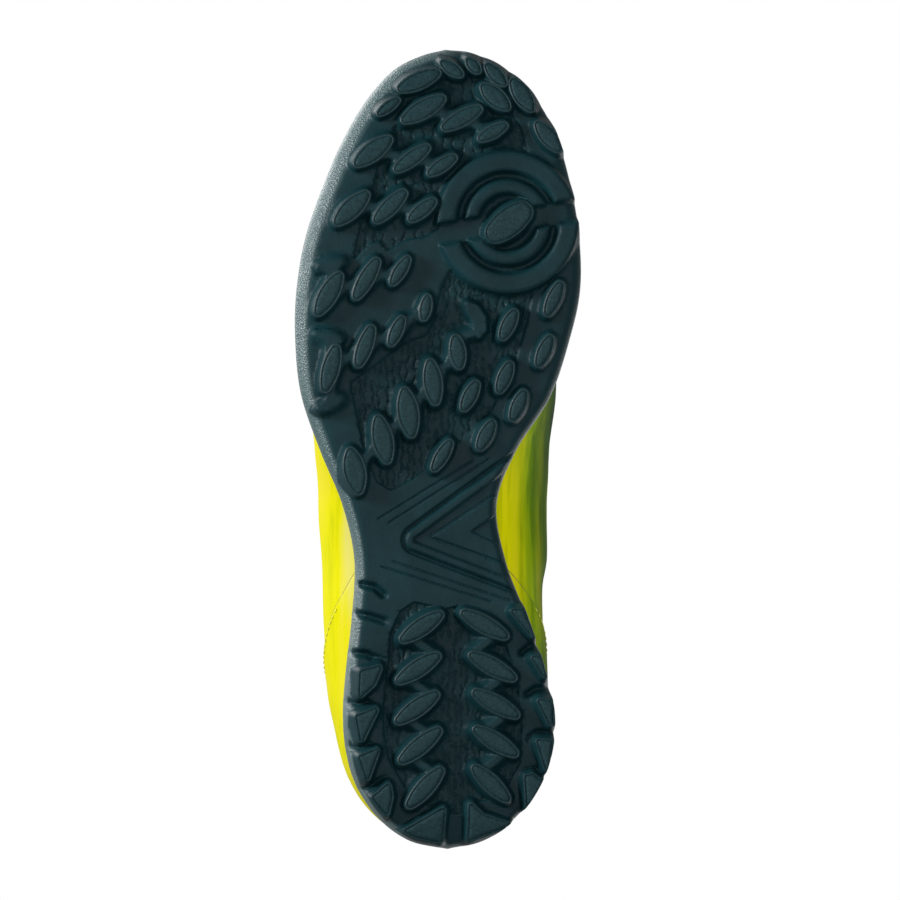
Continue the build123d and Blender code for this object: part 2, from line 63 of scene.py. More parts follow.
# heights and reaches along the shoe, as (y, value)
RIDGE_Z = [(-120, 50), (-97, 57), (-70, 68), (-40, 82), (-10, 96), (15, 106), (45, 110), (85, 107),
           (120, 104)]
MIDSOLE_TOP = [(-145, 11.5), (-50, 11.5), (70, 17.5), (145, 18)]
LIP = [(-145, 21), (-120, 17), (-90, 15.5), (-40, 15.5), (0, 16), (30, 17.5), (70, 21), (110, 24), (145, 25)]
SHOULDER = [(-144, 13), (-125, 18), (-100, 24), (-50, 32), (15, 36), (60, 30), (100, 27), (130, 24),
            (143, 22)]
SIDE_Z = [(-144, 42), (-100, 42), (-50, 50), (-10, 55), (30, 50), (60, 47), (100, 55), (143, 65)]
BULGE = {              # fuller at the waist than the CAD, as the upper shows past the sole there
    LATERAL: [(-144, 3), (-100, 4), (-50, 4), (-10, 8), (5, 15), (30, 28), (60, 29), (90, 19), (105, 13),
              (143, 8)],
    MEDIAL: [(-144, 3), (-100, 3), (-60, 6), (-30, 17), (-18, 26), (-5, 38), (5, 46), (13, 51), (25, 53),
             (40, 49), (50, 40), (60, 33), (75, 25), (100, 14), (143, 8)],
}
WALL = 4.2             # cup wall thickness, outline to upper
BALL_Y, TOE_SPRING_R, HEEL_BEVEL_Y, HEEL_BEVEL = -70.0, 234.0, 125.0, 130.0
TREAD = 4.5            # stud tips up to the tread surface
RUBBER_TOP = 7.3       # inside bottom of the rubber cup


U_TABLE, V_TABLE = np.linspace(0, U_END, 801), np.linspace(0, 1, 201)
HALVINGS = 30


def along(y, table):
    """Smooth values at y (array or number) from a (y, value) table."""
    t = np.array([row[0] for row in table], float)
    v = np.array([row[1] for row in table], float)
    y = np.clip(np.asarray(y, float), t[0], t[-1])
    i = np.clip(np.searchsorted(t, y, side="right") - 1, 0, len(t) - 2)
    lo, hi = np.maximum(np.arange(len(t)) - 1, 0), np.minimum(np.arange(len(t)) + 1, len(t) - 1)
    m = (v[hi] - v[lo]) / (t[hi] - t[lo])
    h = t[i + 1] - t[i]
    s = (y - t[i]) / h
    return ((2 * s**3 - 3 * s**2 + 1) * v[i] + (s**3 - 2 * s**2 + s) * h * m[i]
            + (3 * s**2 - 2 * s**3) * v[i + 1] + (s**3 - s**2) * h * m[i + 1])


def rocker(y):
    """How far the sole rises at the toe and at the back of the heel."""
    y = np.asarray(y, float)
    toe_spring = np.maximum(0, BALL_Y - y) ** 2 / (2 * TOE_SPRING_R)
    return toe_spring + np.maximum(0, y - HEEL_BEVEL_Y) ** 2 / HEEL_BEVEL


def station(side, u):
    """Ridge y and outline point at u."""
    feet = [(k, row[0]) for k, row in enumerate(STATIONS)]
    rims = [[(k, row[side][axis]) for k, row in enumerate(STATIONS)] for axis in (0, 1)]
    return along(u, feet), along(u, rims[0]), along(u, rims[1])


def closed_outline(step):
    """Points round the sole at an even spacing, starting at the toe and running down the lateral side."""
    lateral, medial = station(LATERAL, U_TABLE), station(MEDIAL, U_TABLE)
    x = np.concatenate([lateral[1], medial[1][-2:0:-1]])
    y = np.concatenate([lateral[2], medial[2][-2:0:-1]])
    x, y = np.append(x, x[0]), np.append(y, y[0])
    run = np.concatenate([[0], np.cumsum(np.hypot(np.diff(x), np.diff(y)))])
    at = np.linspace(0, run[-1], int(run[-1] / step) + 1)[:-1]
    return np.interp(at, run, x), np.interp(at, run, y)


def outline_normals(x, y):
    """Unit normals pointing out of the outline."""
    tx, ty = np.roll(x, -1) - np.roll(x, 1), np.roll(y, -1) - np.roll(y, 1)
    size = np.hypot(tx, ty)
    return -ty / size, tx / size


def ease(t):
    """Smooth step from 0 to 1 as t goes from 0 to 1."""
    t = np.clip(t, 0, 1)
    return t * t * (3 - 2 * t)


def solve(test, lo, hi):
    """Where test turns from false to true between lo and hi, by halving."""
    for _ in range(HALVINGS):
        mid = (lo + hi) / 2
        past = test(mid)
        hi, lo = np.where(past, mid, hi), np.where(past, lo, mid)
    return (lo + hi) / 2


# ------------------------------------------------------------ tread layout, as seen from above
# studs as (x, y, length, width, turn in degrees), in rows that share one ground, then on their own
ROWS = [
    [(-5.7, -123, 17.8, 6, -30), (8.2, -119.8, 16, 5, -29), (19.4, -114.8, 11.6, 4, -29)],
    [(-24.3, -107.6, 16.5, 6, -37.5), (-10.2, -105.1, 15.2, 4.6, -36), (0.7, -102.6, 12, 4, -34)],
    [(-32.3, -86.9, 16.5, 6, -44), (-18.3, -87.6, 15.8, 5, -45), (-6.7, -86.3, 12, 4.2, -39)],
    [(-40.7, -55.9, 17.3, 6, -60), (-27, -61.4, 16.6, 4.8, -60), (-14.8, -64.3, 11.6, 3.8, -58)],
    [(-40, -29, 17, 5.5, -75), (-27.6, -37, 15.6, 4.8, -70), (-16.1, -42.5, 11.1, 3.8, -66),
     (-5.5, -51, 9, 3.5, -80)],
    [(-31.3, 8, 16.6, 7, 78), (-21.1, -3.4, 17.3, 6.6, 78), (-11.9, -13.1, 17.8, 6.8, 81),
     (-2.9, -24.1, 16.2, 5.9, 82.5), (6.1, -35, 11.9, 5, 82)],
    [(-7, 64.4, 18, 5.5, -34), (-8.2, 79.3, 18.4, 5.5, -33), (-8.6, 93.6, 18.5, 5.5, -35),
     (-7.5, 107.3, 19, 5.5, -39), (-5.7, 122.5, 18.6, 5.5, -48)],
    [(15.9, 63.6, 18.9, 5.5, 29), (18.8, 78.8, 18.8, 5.5, 29), (20, 92.3, 18.6, 5.5, 29),
     (19.9, 105.9, 18.3, 5.5, 32), (18.2, 121.1, 17.9, 5.5, 44)],
]
LONE_STUDS = [
    (-7.1, -133.4, 16.5, 5.5, -24), (5, -137.9, 9, 4, 34), (12.9, -139.1, 6.5, 3.6, 50),
    (21, -135.8, 10, 4.4, 48), (30.4, -128.4, 13.5, 5.7, 58), (39.6, -113.2, 13.4, 5.4, 51),
    (20.6, -127.6, 13, 6, 42), (-18.4, -123.9, 9.5, 3, -37),
    (41.1, -54.3, 13.1, 4.4, -66), (37.7, -35.4, 12, 4.3, -66), (24.6, -44.9, 11.7, 4.4, -64),
    (23.2, -25.9, 11.8, 4.4, -68), (10.6, -19.1, 11.7, 4.4, -63), (28.2, -15.7, 11.7, 4.4, -66),
    (16.4, -4.9, 11.7, 4.4, -63), (0.4, 2.5, 12.5, 4, -59),
]
HEEL_BLOCKS = [        # corners
    [(-29, 80.5), (-21.8, 78.5), (-24.5, 85), (-29.5, 89.5)],
    [(-30.4, 96.8), (-23.2, 93.9), (-28.9, 105.4)],
    [(-29.3, 111.4), (-22.9, 108.6), (-26.8, 119.3)],
    [(-24.6, 126.1), (-18.9, 121.1), (-18.2, 125.7), (-19.6, 132.1)],
    [(-12.9, 138.2), (1.4, 130), (0.4, 142), (-9.3, 140)],
    [(10.7, 128.6), (15, 132.9), (24.6, 136.1), (10.4, 141.4)],
    [(26, 58.5), (29.5, 58.5), (34, 68)],
    [(33.5, 75.5), (37, 75.5), (38, 82.5)],
    [(35.7, 91), (40.2, 91.8), (40.2, 100)],
    [(35.4, 105.7), (39.9, 106), (38.8, 116.4)],
    [(31.1, 118.6), (33.2, 118.2), (36.6, 120.7), (31.8, 130)],
]
PIVOT = (24.5, -82.0)
PIVOT_PAD = (PIVOT[0] + 0.3, PIVOT[1], 19.2, 9.4, -38)
PIVOT_TURN = -10.3                           # degrees by which the gap through the rings is turned
PIVOT_CLEAR = 27                             # cracks keep this far from the pivot's centre
RINGS = [(22.25, 2.95), (13.05, 1.75)]       # middle radius and half width
RECESSES = [           # corners of the sunk, cracked areas
    [(-16, -116.6), (-13.5, -119.5), (-2, -127), (2, -134), (12, -135), (17, -126), (25.4, -123.7),
     (29.5, -117.5), (32.9, -107.3), (20, -107.8), (8, -102.5), (0, -92), (-1, -84), (-0.5, -80),
     (-5, -77.1), (-12.1, -75.7), (-19.3, -71.8), (-22, -75.5), (-26, -74), (-31.4, -68.6), (-28.6, -81.4),
     (-23.2, -89), (-24.3, -93.7), (-21.8, -103.7), (-14.3, -108)],
    [(34.3, -59.3), (31.8, -45.7), (27.1, -30.7), (18.6, -13.6), (4.3, 0), (-6.4, 7.9), (-10, 11),
     (-17.9, 15), (-22.9, 12.1), (-25.4, 5.7), (-27.9, -1.4), (-32.5, -23.6), (-22.9, -30.4), (-16, -36),
     (-9.3, -39.5), (-5, -40.7), (-1.8, -45.7), (-1.1, -50), (0.7, -57.9), (4.3, -65), (8.6, -69.5),
     (18, -57.8), (28, -57)],
    [(-5, 56.4), (-9.3, 55.4), (-14.3, 58.6), (-17.9, 67.1), (-18.9, 80), (-20.4, 92.9), (-20.4, 102.9),
     (-18.6, 112), (-12.9, 122), (-9, 129), (2.9, 129), (2.9, 132), (7.9, 132), (7.9, 128), (22, 127),
     (29.3, 113.6), (30, 103), (28.2, 83.6), (24.3, 72), (22, 62), (8, 56.5), (2, 58)],
]
RECESS_DEPTH = 1.0
FAR = 1e9


# ------------------------------------------------------------ flat distance fields, in mm
def turned(x, y, cx, cy, deg):
    """Coordinates along and across a line through (cx, cy) at deg degrees."""
    c, s = cos(radians(deg)), sin(radians(deg))
    return (x - cx) * c + (y - cy) * s, -(x - cx) * s + (y - cy) * c


TIP_SHARE, STUD_TIP_MAX, WIDE_STUD, WIDE_STUD_TIP = 0.27, 1.3, 8, 3.6   # rounding of a stud's tips


def leaf(x, y, stud):
    """Distance to the outline of a pointed oval with slightly rounded tips."""
    cx, cy, length, width, deg = stud
    u, v = np.abs(turned(x, y, cx, cy, deg))
    tip = min(TIP_SHARE * width, STUD_TIP_MAX) if width < WIDE_STUD else WIDE_STUD_TIP
    a, b = length / 2 - tip, width / 2 - tip
    r = (a * a + b * b) / (2 * b)
    o = r - b
    past_tip = (u - a) * o > v * a
    return np.where(past_tip, np.hypot(u - a, v), np.hypot(u, v + o) - r) - tip


def blob(x, y, corners, rounding=0.7):
    """Distance to a polygon with rounded corners."""
    p = np.array(corners, float)
    centre = p.mean(0)
    p = centre + (p - centre) * (1 - rounding / np.abs(p - centre).max())
    best = np.full(np.shape(x), FAR)
    inside = np.zeros(np.shape(x), bool)
    for (x0, y0), (x1, y1) in zip(p, np.roll(p, -1, axis=0)):
        best = np.minimum(best, bar(x, y, x0, y0, x1, y1))
        crosses = (y0 > y) != (y1 > y)
        with np.errstate(divide="ignore", invalid="ignore"):
            inside ^= crosses & (x < (x1 - x0) * (y - y0) / (y1 - y0) + x0)
    return np.where(inside, -best, best) - rounding


def bar(x, y, x0, y0, x1, y1):
    """Distance to a straight line from (x0, y0) to (x1, y1)."""
    ex, ey = x1 - x0, y1 - y0
    t = np.clip(((x - x0) * ex + (y - y0) * ey) / (ex * ex + ey * ey), 0, 1)
    return np.hypot(x - x0 - t * ex, y - y0 - t * ey)


def smooth_max(a, b, k):
    """The larger of a and b, blended where they are within k of each other."""
    return np.maximum(a, b) + np.maximum(k - np.abs(a - b), 0) ** 2 / (4 * k)


# ------------------------------------------------------------ tread height, above the plain tread surface
SIDE_ROUND = {         # width of the rounding into the side wall
    LATERAL: [(-145, 4), (-130, 7), (-100, 8), (-60, 6.5), (-20, 6), (20, 4.5), (60, 3.6), (120, 3.6),
              (145, 3)],
    MEDIAL: [(-145, 4), (-120, 4.5), (-60, 4.5), (0, 4), (60, 3), (120, 3), (145, 3)],
}
ROUND_HEIGHT = 5.0
STEEPEST = 0.995       # share of the rounding's quarter circle that the height field follows
EDGE_IN = 0.45         # the height field stops this far inside the outline
STUD_TOP, LEDGE, GROOVE, CROWN = 4.5, 4.3, 0.55, 0.35
GROOVE_HALF, CROWN_START, CROWN_WIDE = 0.3, 1.5, 1.4
WALL_START, WALL_SLOPE, WALL_ROUND = 0.45, 3.0, 0.5


def wall_drop(d, start, slope):
    """Fall of a drafted wall that starts with a rounded edge."""
    t = np.maximum(0, d - start)
    return slope * np.where(t < WALL_ROUND, t * t, t - WALL_ROUND**2)


def stud_height(d):
    """Crowned face, groove, rim and drafted wall of a stud at distance d from the groove."""
    in_groove = ease(1 - np.abs(d) / GROOVE_HALF)
    face = STUD_TOP - CROWN * ease((d + CROWN_START) / CROWN_WIDE) ** 2 - (GROOVE - CROWN) * in_groove
    rim = LEDGE - GROOVE * in_groove
    return np.where(d < 0, face, rim) - wall_drop(d, WALL_START, WALL_SLOPE)


def tree_of(points):
    """Search tree of flat points."""
    tree = KDTree(len(points))
    for k, (x, y) in enumerate(points):
        tree.insert((x, y, 0), k)
    tree.balance()
    return tree


outline_x, outline_y = closed_outline(0.6)
outline_tree = tree_of(np.column_stack([outline_x, outline_y]))
out_nx, out_ny = outline_normals(outline_x, outline_y)


def inside_outline(d):
    """The outline's points, moved in by d."""
    return np.column_stack([outline_x - d * out_nx, outline_y - d * out_ny])


def inset(x, y):
    """Distance in from the outline; negative outside."""
    found = np.empty(len(x))
    for k in range(len(x)):
        j = outline_tree.find((x[k], y[k], 0))[1]
        found[k] = -((x[k] - outline_x[j]) * out_nx[j] + (y[k] - outline_y[j]) * out_ny[j])
    return found


PLATEAU = 3.6          # height of the rings and of the crescent
RING_CROWN, RING_ROUND = 0.35, 0.8
GAP_HALF = 4.6         # half width of the gap that splits the rings
SUNK_REACH, SUNK_DEPTH, SUNK_OFF = 19.4, 1.3, 4.0
SOFT, SOFTER = 0.6, 0.8            # widths over which small steps are eased


def from_pivot(x, y):
    """Distance to the pivot's centre and to the line of its gap."""
    return np.hypot(x - PIVOT[0], y - PIVOT[1]), np.abs(turned(x, y, *PIVOT, PIVOT_TURN)[1])


def pivot_height(x, y):
    """Split rings and centre pad of the turning point."""
    r, off = from_pivot(x, y)
    height = stud_height(leaf(x, y, PIVOT_PAD))
    for middle, half in RINGS:
        d = np.maximum(np.abs(r - middle) - half, GAP_HALF - off)
        crown = RING_CROWN * ease((d + RING_ROUND) / RING_ROUND)
        height = np.maximum(height, PLATEAU - crown - wall_drop(d, 0, WALL_SLOPE))
    return height


def pivot_sunk(x, y):
    """Depth of the floor between the rings."""
    r, off = from_pivot(x, y)
    return SUNK_DEPTH * ease((SUNK_REACH - r) / SOFT) * ease((off - SUNK_OFF) / SOFTER)


CHEVRONS = [  # rounding and corners of the nested V shapes, open towards the medial side
    (2.5, [(-10.9, 33.3), (22, 9.3), (60, -16), (60, 60), (28, 48.3)]),
    (0.4, [(-3.2, 31.8), (20, 16.8), (60, -9), (60, 55), (25.3, 41.9)]),
    (0.4, [(11.1, 30), (20.7, 23.7), (60, -2), (60, 50), (23.2, 35.5)]),
]
ARCH_LINES = [((-22.5, 25.4), (11.8, 4.3)), ((-18.6, 26.8), (17.9, 3.6)), ((-21.4, 42.5), (18.6, 55.4)),
              ((-17.1, 40.7), (25.4, 55))]
ARCH_LINE_DEPTH, ARCH_LINE_HALF = 0.55, 0.45
ARCH_SPAN = (0, 58)
# the outer V is a ridge with a groove outside it and a lower floor inside, the second is a raised band
# with a fine groove round it, and the third is a hollow
V_RIDGE, V_RIDGE_HALF, V_FLOOR, V_FLOOR_IN = 1.0, 1.7, 0.5, 1.5
V_GROOVE, V_GROOVE_AT, V_GROOVE_HALF = 1.3, 2.4, 1.1
V_BAND, V_FINE, V_FINE_AT, V_FINE_HALF, V_HOLLOW = 0.75, 0.35, 0.1, 0.5, 0.95
SIDE_NOTCHES = [       # start, bend and end of the grooves between the heel blocks
    [(-28, 49), (-23.5, 50.2), (-20.5, 52.8)], [(-31, 59.4), (-25.5, 60.6), (-20, 62.4)],
    [(-33, 73.6), (-26.5, 74.3), (-20.8, 77)], [(-35, 91.8), (-28, 91), (-23.2, 94)],
    [(-35, 107.6), (-27.5, 106.6), (-22.7, 109.4)], [(-31, 123.6), (-25, 121.6), (-19.5, 119.6)],
    [(42, 70.5), (33, 71.5), (30, 74)], [(43.5, 86.5), (35, 87), (32, 89)],
    [(44, 103), (35.5, 103), (33, 105)], [(43, 117.5), (34.5, 116.5), (31, 117.5)],
]
NOTCH_DEPTH, NOTCH_HALF = 2.8, 2.1


def arch_height(x, y):
    """Nested V bands and fine grooves under the arch."""
    outer, second, third = (blob(x, y, corners, rounding) for rounding, corners in CHEVRONS)
    height = V_RIDGE * ease((V_RIDGE_HALF - np.abs(outer)) / SOFTER)
    height -= V_GROOVE * ease(1 - np.abs(outer - V_GROOVE_AT) / V_GROOVE_HALF)
    height -= V_FLOOR * ease((-V_FLOOR_IN - outer) / SOFT)
    height += V_BAND * ease(-second / SOFT) - V_FINE * ease(1 - np.abs(second - V_FINE_AT) / V_FINE_HALF)
    height -= V_HOLLOW * ease(-third / SOFT)
    for start, end in ARCH_LINES:
        height -= ARCH_LINE_DEPTH * np.maximum(0, 1 - bar(x, y, *start, *end) / ARCH_LINE_HALF)
    return height


HEEL_WEBS = [((-9.5, 69.2), (-3, 73.6)), ((17.5, 69.2), (12.5, 73.2))]   # first web of each heel row
WEB_HEIGHT, WEB_HALF, WEB_SLOPE = 3.4, 1.0, 1.8
MOUND_ROWS = range(6)  # the forefoot's rows
MOUND_HEIGHT, MOUND_EDGE, MOUND_BLEND, MOUND_SLOPE = 3.8, 0.7, 2.4, 3.2
CRESCENT = [(9.3, -53), (13, -51.7), (15.8, -47.5), (16, -42.8), (14, -40.3), (12.8, -43), (11.9, -47),
            (10.2, -50)]
CRESCENT_MIDDLE, CRESCENT_REACH, BLOCK_REACH = (13, -46.5), 6, 4.5
FINS = {      # pointed ends of two rows' ground, beside their first studs
    3: [(-39.9, -66.6, 9.5, 2.6, -14)],
    4: [(-40.8, -40.5, 9.5, 2.6, 12), (-39.9, -16.2, 9.5, 2.6, -25)],
}
studs = [stud for row in ROWS for stud in row] + LONE_STUDS


def web_lines():
    """Low ridges joining the studs of the heel rows, and the one from the crescent."""
    for row, (start, end) in zip(ROWS[len(MOUND_ROWS):], HEEL_WEBS):
        for stud in row[:-1]:
            dx, dy = stud[0] - row[0][0], stud[1] - row[0][1]
            yield start[0] + dx, start[1] + dy, end[0] + dx, end[1] + dy
    yield 7.5, -40.5, 13.5, -42.5


def row_mound(x, y, row):
    """Raised ground that runs on from stud to stud of a forefoot row."""
    joined = np.full(np.shape(x), FAR)
    fins = FINS.get(row, [])
    for stud in ROWS[row] + fins:
        joined = np.minimum(joined, leaf(x, y, stud) - MOUND_EDGE)
    for a, b in list(zip(ROWS[row], ROWS[row][1:])) + [(fin, ROWS[row][0]) for fin in fins]:
        joined = -smooth_max(-joined, WEB_HALF - bar(x, y, a[0], a[1], b[0], b[1]), MOUND_BLEND)
    return MOUND_HEIGHT - wall_drop(joined, 0, MOUND_SLOPE)


CRACK_APART = (3.6, 2.5, 2.3)      # for each recess
CRACK_STEP = 0.75
CRACK_HALF, CRACK_DEPTH = 0.36, 0.55


def crack_lines():
    """Wavy cracks, mostly along the shoe, in the sunk areas; each is a list of (x, y)."""
    made = []
    for corners, apart in zip(RECESSES, CRACK_APART):
        p = np.array(corners, float)
        for x0 in np.arange(p[:, 0].min() + 0.8, p[:, 0].max(), apart):
            y0 = p[:, 1].min() - rng.uniform(0, 8)
            while y0 < p[:, 1].max():
                y = np.arange(y0, y0 + rng.uniform(9, 26), CRACK_STEP)
                ph = rng.uniform(0, 6.3, 3)
                x = x0 + 0.4 * np.sin(y / 0.9 + ph[0]) + 0.15 * np.sin(y / 0.4 + ph[1])
                x += 0.5 * np.sin(y / 4 + ph[2])
                made.append(np.stack([x, y], 1))
                y0 = y[-1] + rng.uniform(1.2, 4)
        for _ in range(int((np.ptp(p[:, 0]) * np.ptp(p[:, 1])) / 90)):
            x0, y0 = (rng.uniform(p[:, axis].min(), p[:, axis].max()) for axis in (0, 1))
            s = np.arange(0, rng.uniform(2.5, 5.5), CRACK_STEP)
            turn = rng.uniform(-0.5, 0.5)
            made.append(np.stack([x0 + s * cos(turn), y0 + s * sin(turn) + 0.4 * np.sin(s * 1.7)], 1))
    return made


cracks = crack_lines()
crack_points = np.concatenate([
    np.stack([np.interp(np.arange(0, len(c) - 1, 0.5), np.arange(len(c)), c[:, axis]) for axis in (0, 1)], 1)
    for c in cracks])
crack_tree = tree_of(crack_points)


def crack_distance(x, y):
    """Distance to the nearest point of a crack."""
    return np.array([crack_tree.find((a, b, 0))[2] for a, b in zip(x, y)])


def recess_depth(x, y):
    """1 inside a sunk area, 0 outside, with a steep edge."""
    inside = np.zeros(len(x))
    for corners in RECESSES:
        inside = np.maximum(inside, ease(0.5 - blob(x, y, corners, 0.3) / SOFT))
    return inside


def near_stud(x, y):
    """Distance to the nearest stud's outline."""
    best = np.full(len(x), FAR)
    for stud in studs:
        best = np.minimum(best, leaf(x, y, stud))
    return best


def rounded_edge(x, y, d):
    """Fall of the tread surface where it rounds over into the side wall."""
    width = np.where(x < AXIS_X, along(y, SIDE_ROUND[LATERAL]), along(y, SIDE_ROUND[MEDIAL]))
    t = np.clip(1 - d / width, 0, 1)
    return -ROUND_HEIGHT * (1 - np.sqrt(1 - (STEEPEST * t) ** 2))


GRAIN = 0.06
MOUND_JOIN, WEB_JOIN, RING_JOIN, STUD_JOIN = 0.8, 1.2, 0.3, 0.5    # how far each form blends into the rest


def tread_height(x, y):
    """Height of the tread above its plain surface, towards the ground."""
    d = inset(x, y)
    height = rounded_edge(x, y, d)
    waves = np.sin(1.9 * x + 1.1 * y) + np.sin(2.7 * y - 1.3 * x + 1) + np.sin(4.1 * x + 0.5 * y + 2)
    rough = GRAIN * waves - CRACK_DEPTH * np.maximum(0, 1 - crack_distance(x, y) / CRACK_HALF)
    height += recess_depth(x, y) * (rough - RECESS_DEPTH)
    height -= pivot_sunk(x, y)
    arch = (y > ARCH_SPAN[0]) & (y < ARCH_SPAN[1])
    height[arch] += arch_height(x[arch], y[arch]) * ease(d[arch] / 2)
    for line in SIDE_NOTCHES:
        n = np.minimum(bar(x, y, *line[0], *line[1]), bar(x, y, *line[1], *line[2]))
        height -= NOTCH_DEPTH * ease(1 - n / NOTCH_HALF)
    for row in MOUND_ROWS:
        height = smooth_max(height, row_mound(x, y, row), MOUND_JOIN)
    for web in web_lines():
        ridge_height = WEB_HEIGHT - wall_drop(bar(x, y, *web), WEB_HALF, WEB_SLOPE)
        height = smooth_max(height, ridge_height, WEB_JOIN)
    height = smooth_max(height, pivot_height(x, y), RING_JOIN)
    height = smooth_max(height, PLATEAU - wall_drop(blob(x, y, CRESCENT), 0, WALL_SLOPE), STUD_JOIN)
    for stud in studs:
        height = smooth_max(height, stud_height(leaf(x, y, stud)), STUD_JOIN)
    for corners in HEEL_BLOCKS:
        height = smooth_max(height, stud_height(blob(x, y, corners)), STUD_JOIN)
    return height


# ------------------------------------------------------------ tread mesh
# distances from the edge or the middle of each form at which the mesh has a line
STUD_LINES = (-1.3, -0.7, -0.3, 0, 0.3, 0.5, 0.8, 1.1, 1.6, 2.2)
RING_LINES = (-0.7, -0.3, 0, 0.35, 1.2)
GAP_LINES = (-5.3, -4.9, -4.6, -4.2, 4.2, 4.6, 4.9, 5.3)
RECESS_LINES = (-0.35, 0.0, 0.35)
CHEVRON_LINES = ((2.1, 1.6, 0.9, -0.9, -1.7, -2.4, -3.4), (0.6, 0, -0.5), (0.6, 0))
ARCH_GROOVE_LINES = (-0.4, 0, 0.4)
WEB_RIDGE_LINES = (-2, -1.3, -0.7, 0, 0.7, 1.3, 2)
CRESCENT_LINES = (-1, 0, 0.6, 1.5)
NOTCH_LINES = (-1.7, -0.9, 0, 0.9, 1.7)
EDGE_LINES = (1.1, 1.8, 2.7, 3.8, 5.2, 6.8)
CONTOUR_STEP = 0.75
RING_POINTS, SMALL_RING = 170, 15  # a ring of less than the second radius has half the points


def contour(distance, centre, rays, offset, far):
    """Where rays from a centre leave a star-shaped distance field at an offset."""
    out = solve(lambda r: distance(*(np.array(centre)[:, None] + r * rays)) > offset,
                np.zeros(rays.shape[1]), np.full(rays.shape[1], far))
    return (np.array(centre)[:, None] + out * rays).T


def ring_round(corners, centre, reach, offset):
    """Contour round a blob."""
    n = max(12, int(2 * pi * (reach + offset) * 0.72 / CONTOUR_STEP))
    a = np.linspace(0, 2 * pi, n, endpoint=False)
    rays = np.stack([np.cos(a), np.sin(a)])
    return contour(lambda x, y: blob(x, y, corners), centre, rays, offset, reach * 2.0 + 6)


def stud_ring(stud, offset):
    """Contour round a leaf, sampled evenly along its length."""
    cx, cy, length, width, deg = stud
    n = max(16, int(2.15 * (length + 2 * offset) / CONTOUR_STEP))
    a = np.linspace(0, 2 * pi, n, endpoint=False)
    rays = np.stack(turned(np.cos(a) * length / 2, np.sin(a) * width / 2, 0, 0, -deg))
    return contour(lambda x, y: leaf(x, y, stud), (cx, cy), rays, offset, 3.0)


def sampled(points, step, closed=True):
    """Points along a polyline at an even spacing."""
    p = np.array(points, float)
    if closed:
        p = np.vstack([p, p[:1]])
    run = np.concatenate([[0], np.cumsum(np.hypot(*np.diff(p, axis=0).T))])
    at = np.linspace(0, run[-1], max(3, int(run[-1] / step) + 1))
    q = np.stack([np.interp(at, run, p[:, 0]), np.interp(at, run, p[:, 1])], 1)
    return q[:-1] if closed else q


def shifted(points, amount):
    """Open polyline moved sideways."""
    t = np.gradient(points, axis=0)
    n = np.stack([-t[:, 1], t[:, 0]], 1) / np.hypot(t[:, 0], t[:, 1])[:, None]
    return points + amount * n


def beside(line, step, offsets):
    """Open lines that run beside a line at some distances."""
    line = sampled(line, step, False)
    for off in offsets:
        yield shifted(line, off), False


def tread_curves():
    """(points, closed) of every line that the tread mesh follows."""
    for stud in studs:
        for offset in STUD_LINES:
            yield stud_ring(stud, offset), True
    for corners in HEEL_BLOCKS:
        for offset in STUD_LINES:
            yield ring_round(corners, np.mean(corners, 0), BLOCK_REACH, offset), True
    for offset in STUD_LINES:
        yield stud_ring(PIVOT_PAD, offset), True
    a = np.linspace(0, 2 * pi, RING_POINTS, endpoint=False)
    for middle, half in RINGS:
        for off in RING_LINES:
            for r in (middle - half - off, middle + half + off):
                some = a[:: 1 if r > SMALL_RING else 2]
                yield np.stack([PIVOT[0] + r * np.cos(some), PIVOT[1] + r * np.sin(some)], 1), True
    for v in GAP_LINES:
        for u in (np.arange(-26.5, -10, 0.9), np.arange(10, 26.6, 0.9)):
            yield np.stack(turned(u, np.full_like(u, v), 0, 0, -PIVOT_TURN), 1) + PIVOT, False
    for corners in RECESSES:
        line = sampled(corners, 0.9)
        for off in RECESS_LINES:
            yield line + off * np.stack(outline_normals(*line.T), 1), True
    for (_, corners), offsets in zip(CHEVRONS, CHEVRON_LINES):
        for line in (corners[:2], [corners[4], corners[0]]):
            yield from beside(line, 1.1, offsets)
    for line in ARCH_LINES:
        yield from beside(line, 1.2, ARCH_GROOVE_LINES)
    for x0, y0, x1, y1 in web_lines():
        yield from beside([(x0, y0), (x1, y1)], 0.9, WEB_RIDGE_LINES)
    for off in CRESCENT_LINES:
        yield ring_round(CRESCENT, CRESCENT_MIDDLE, CRESCENT_REACH, off), True
    for line in SIDE_NOTCHES:
        yield from beside(line, 0.7, NOTCH_LINES)
    for d in EDGE_LINES:
        yield inside_outline(d)[:: 2 if d > 2 else 1], True
    yield from crack_curves()


def runs_of(points, keep):
    """The stretches of a polyline where keep is true."""
    edges = np.flatnonzero(np.diff(np.concatenate([[0], keep.astype(int), [0]])))
    return [points[a:b] for a, b in zip(edges[::2], edges[1::2]) if b - a > 1]


def crack_curves():
    """Crack lines with a shoulder each side, where they lie in a sunk area and clear of the studs."""
    lines = [shifted(line, off) for line in cracks for off in (-CRACK_HALF, 0, CRACK_HALF)]
    p = np.concatenate(lines)
    keep = (recess_depth(*p.T) > 0.9) & (near_stud(*p.T) > STUD_LINES[-1])
    keep &= from_pivot(*p.T)[0] > PIVOT_CLEAR
    ends = np.cumsum([len(line) for line in lines])[:-1]
    for line, kept in zip(lines, np.split(keep, ends)):
        for run in runs_of(line, kept):
            yield run, False


FILL_STEP, ARCH_STEP, HEEL_STEP = 1.6, 0.6, 0.8
HEEL_BAND = 10         # width of the band round the heel that is filled more finely
EDGE_CLEAR, MERGE = 0.25, 0.02     # gap from the mesh's lines to its edge, and distance that merges points


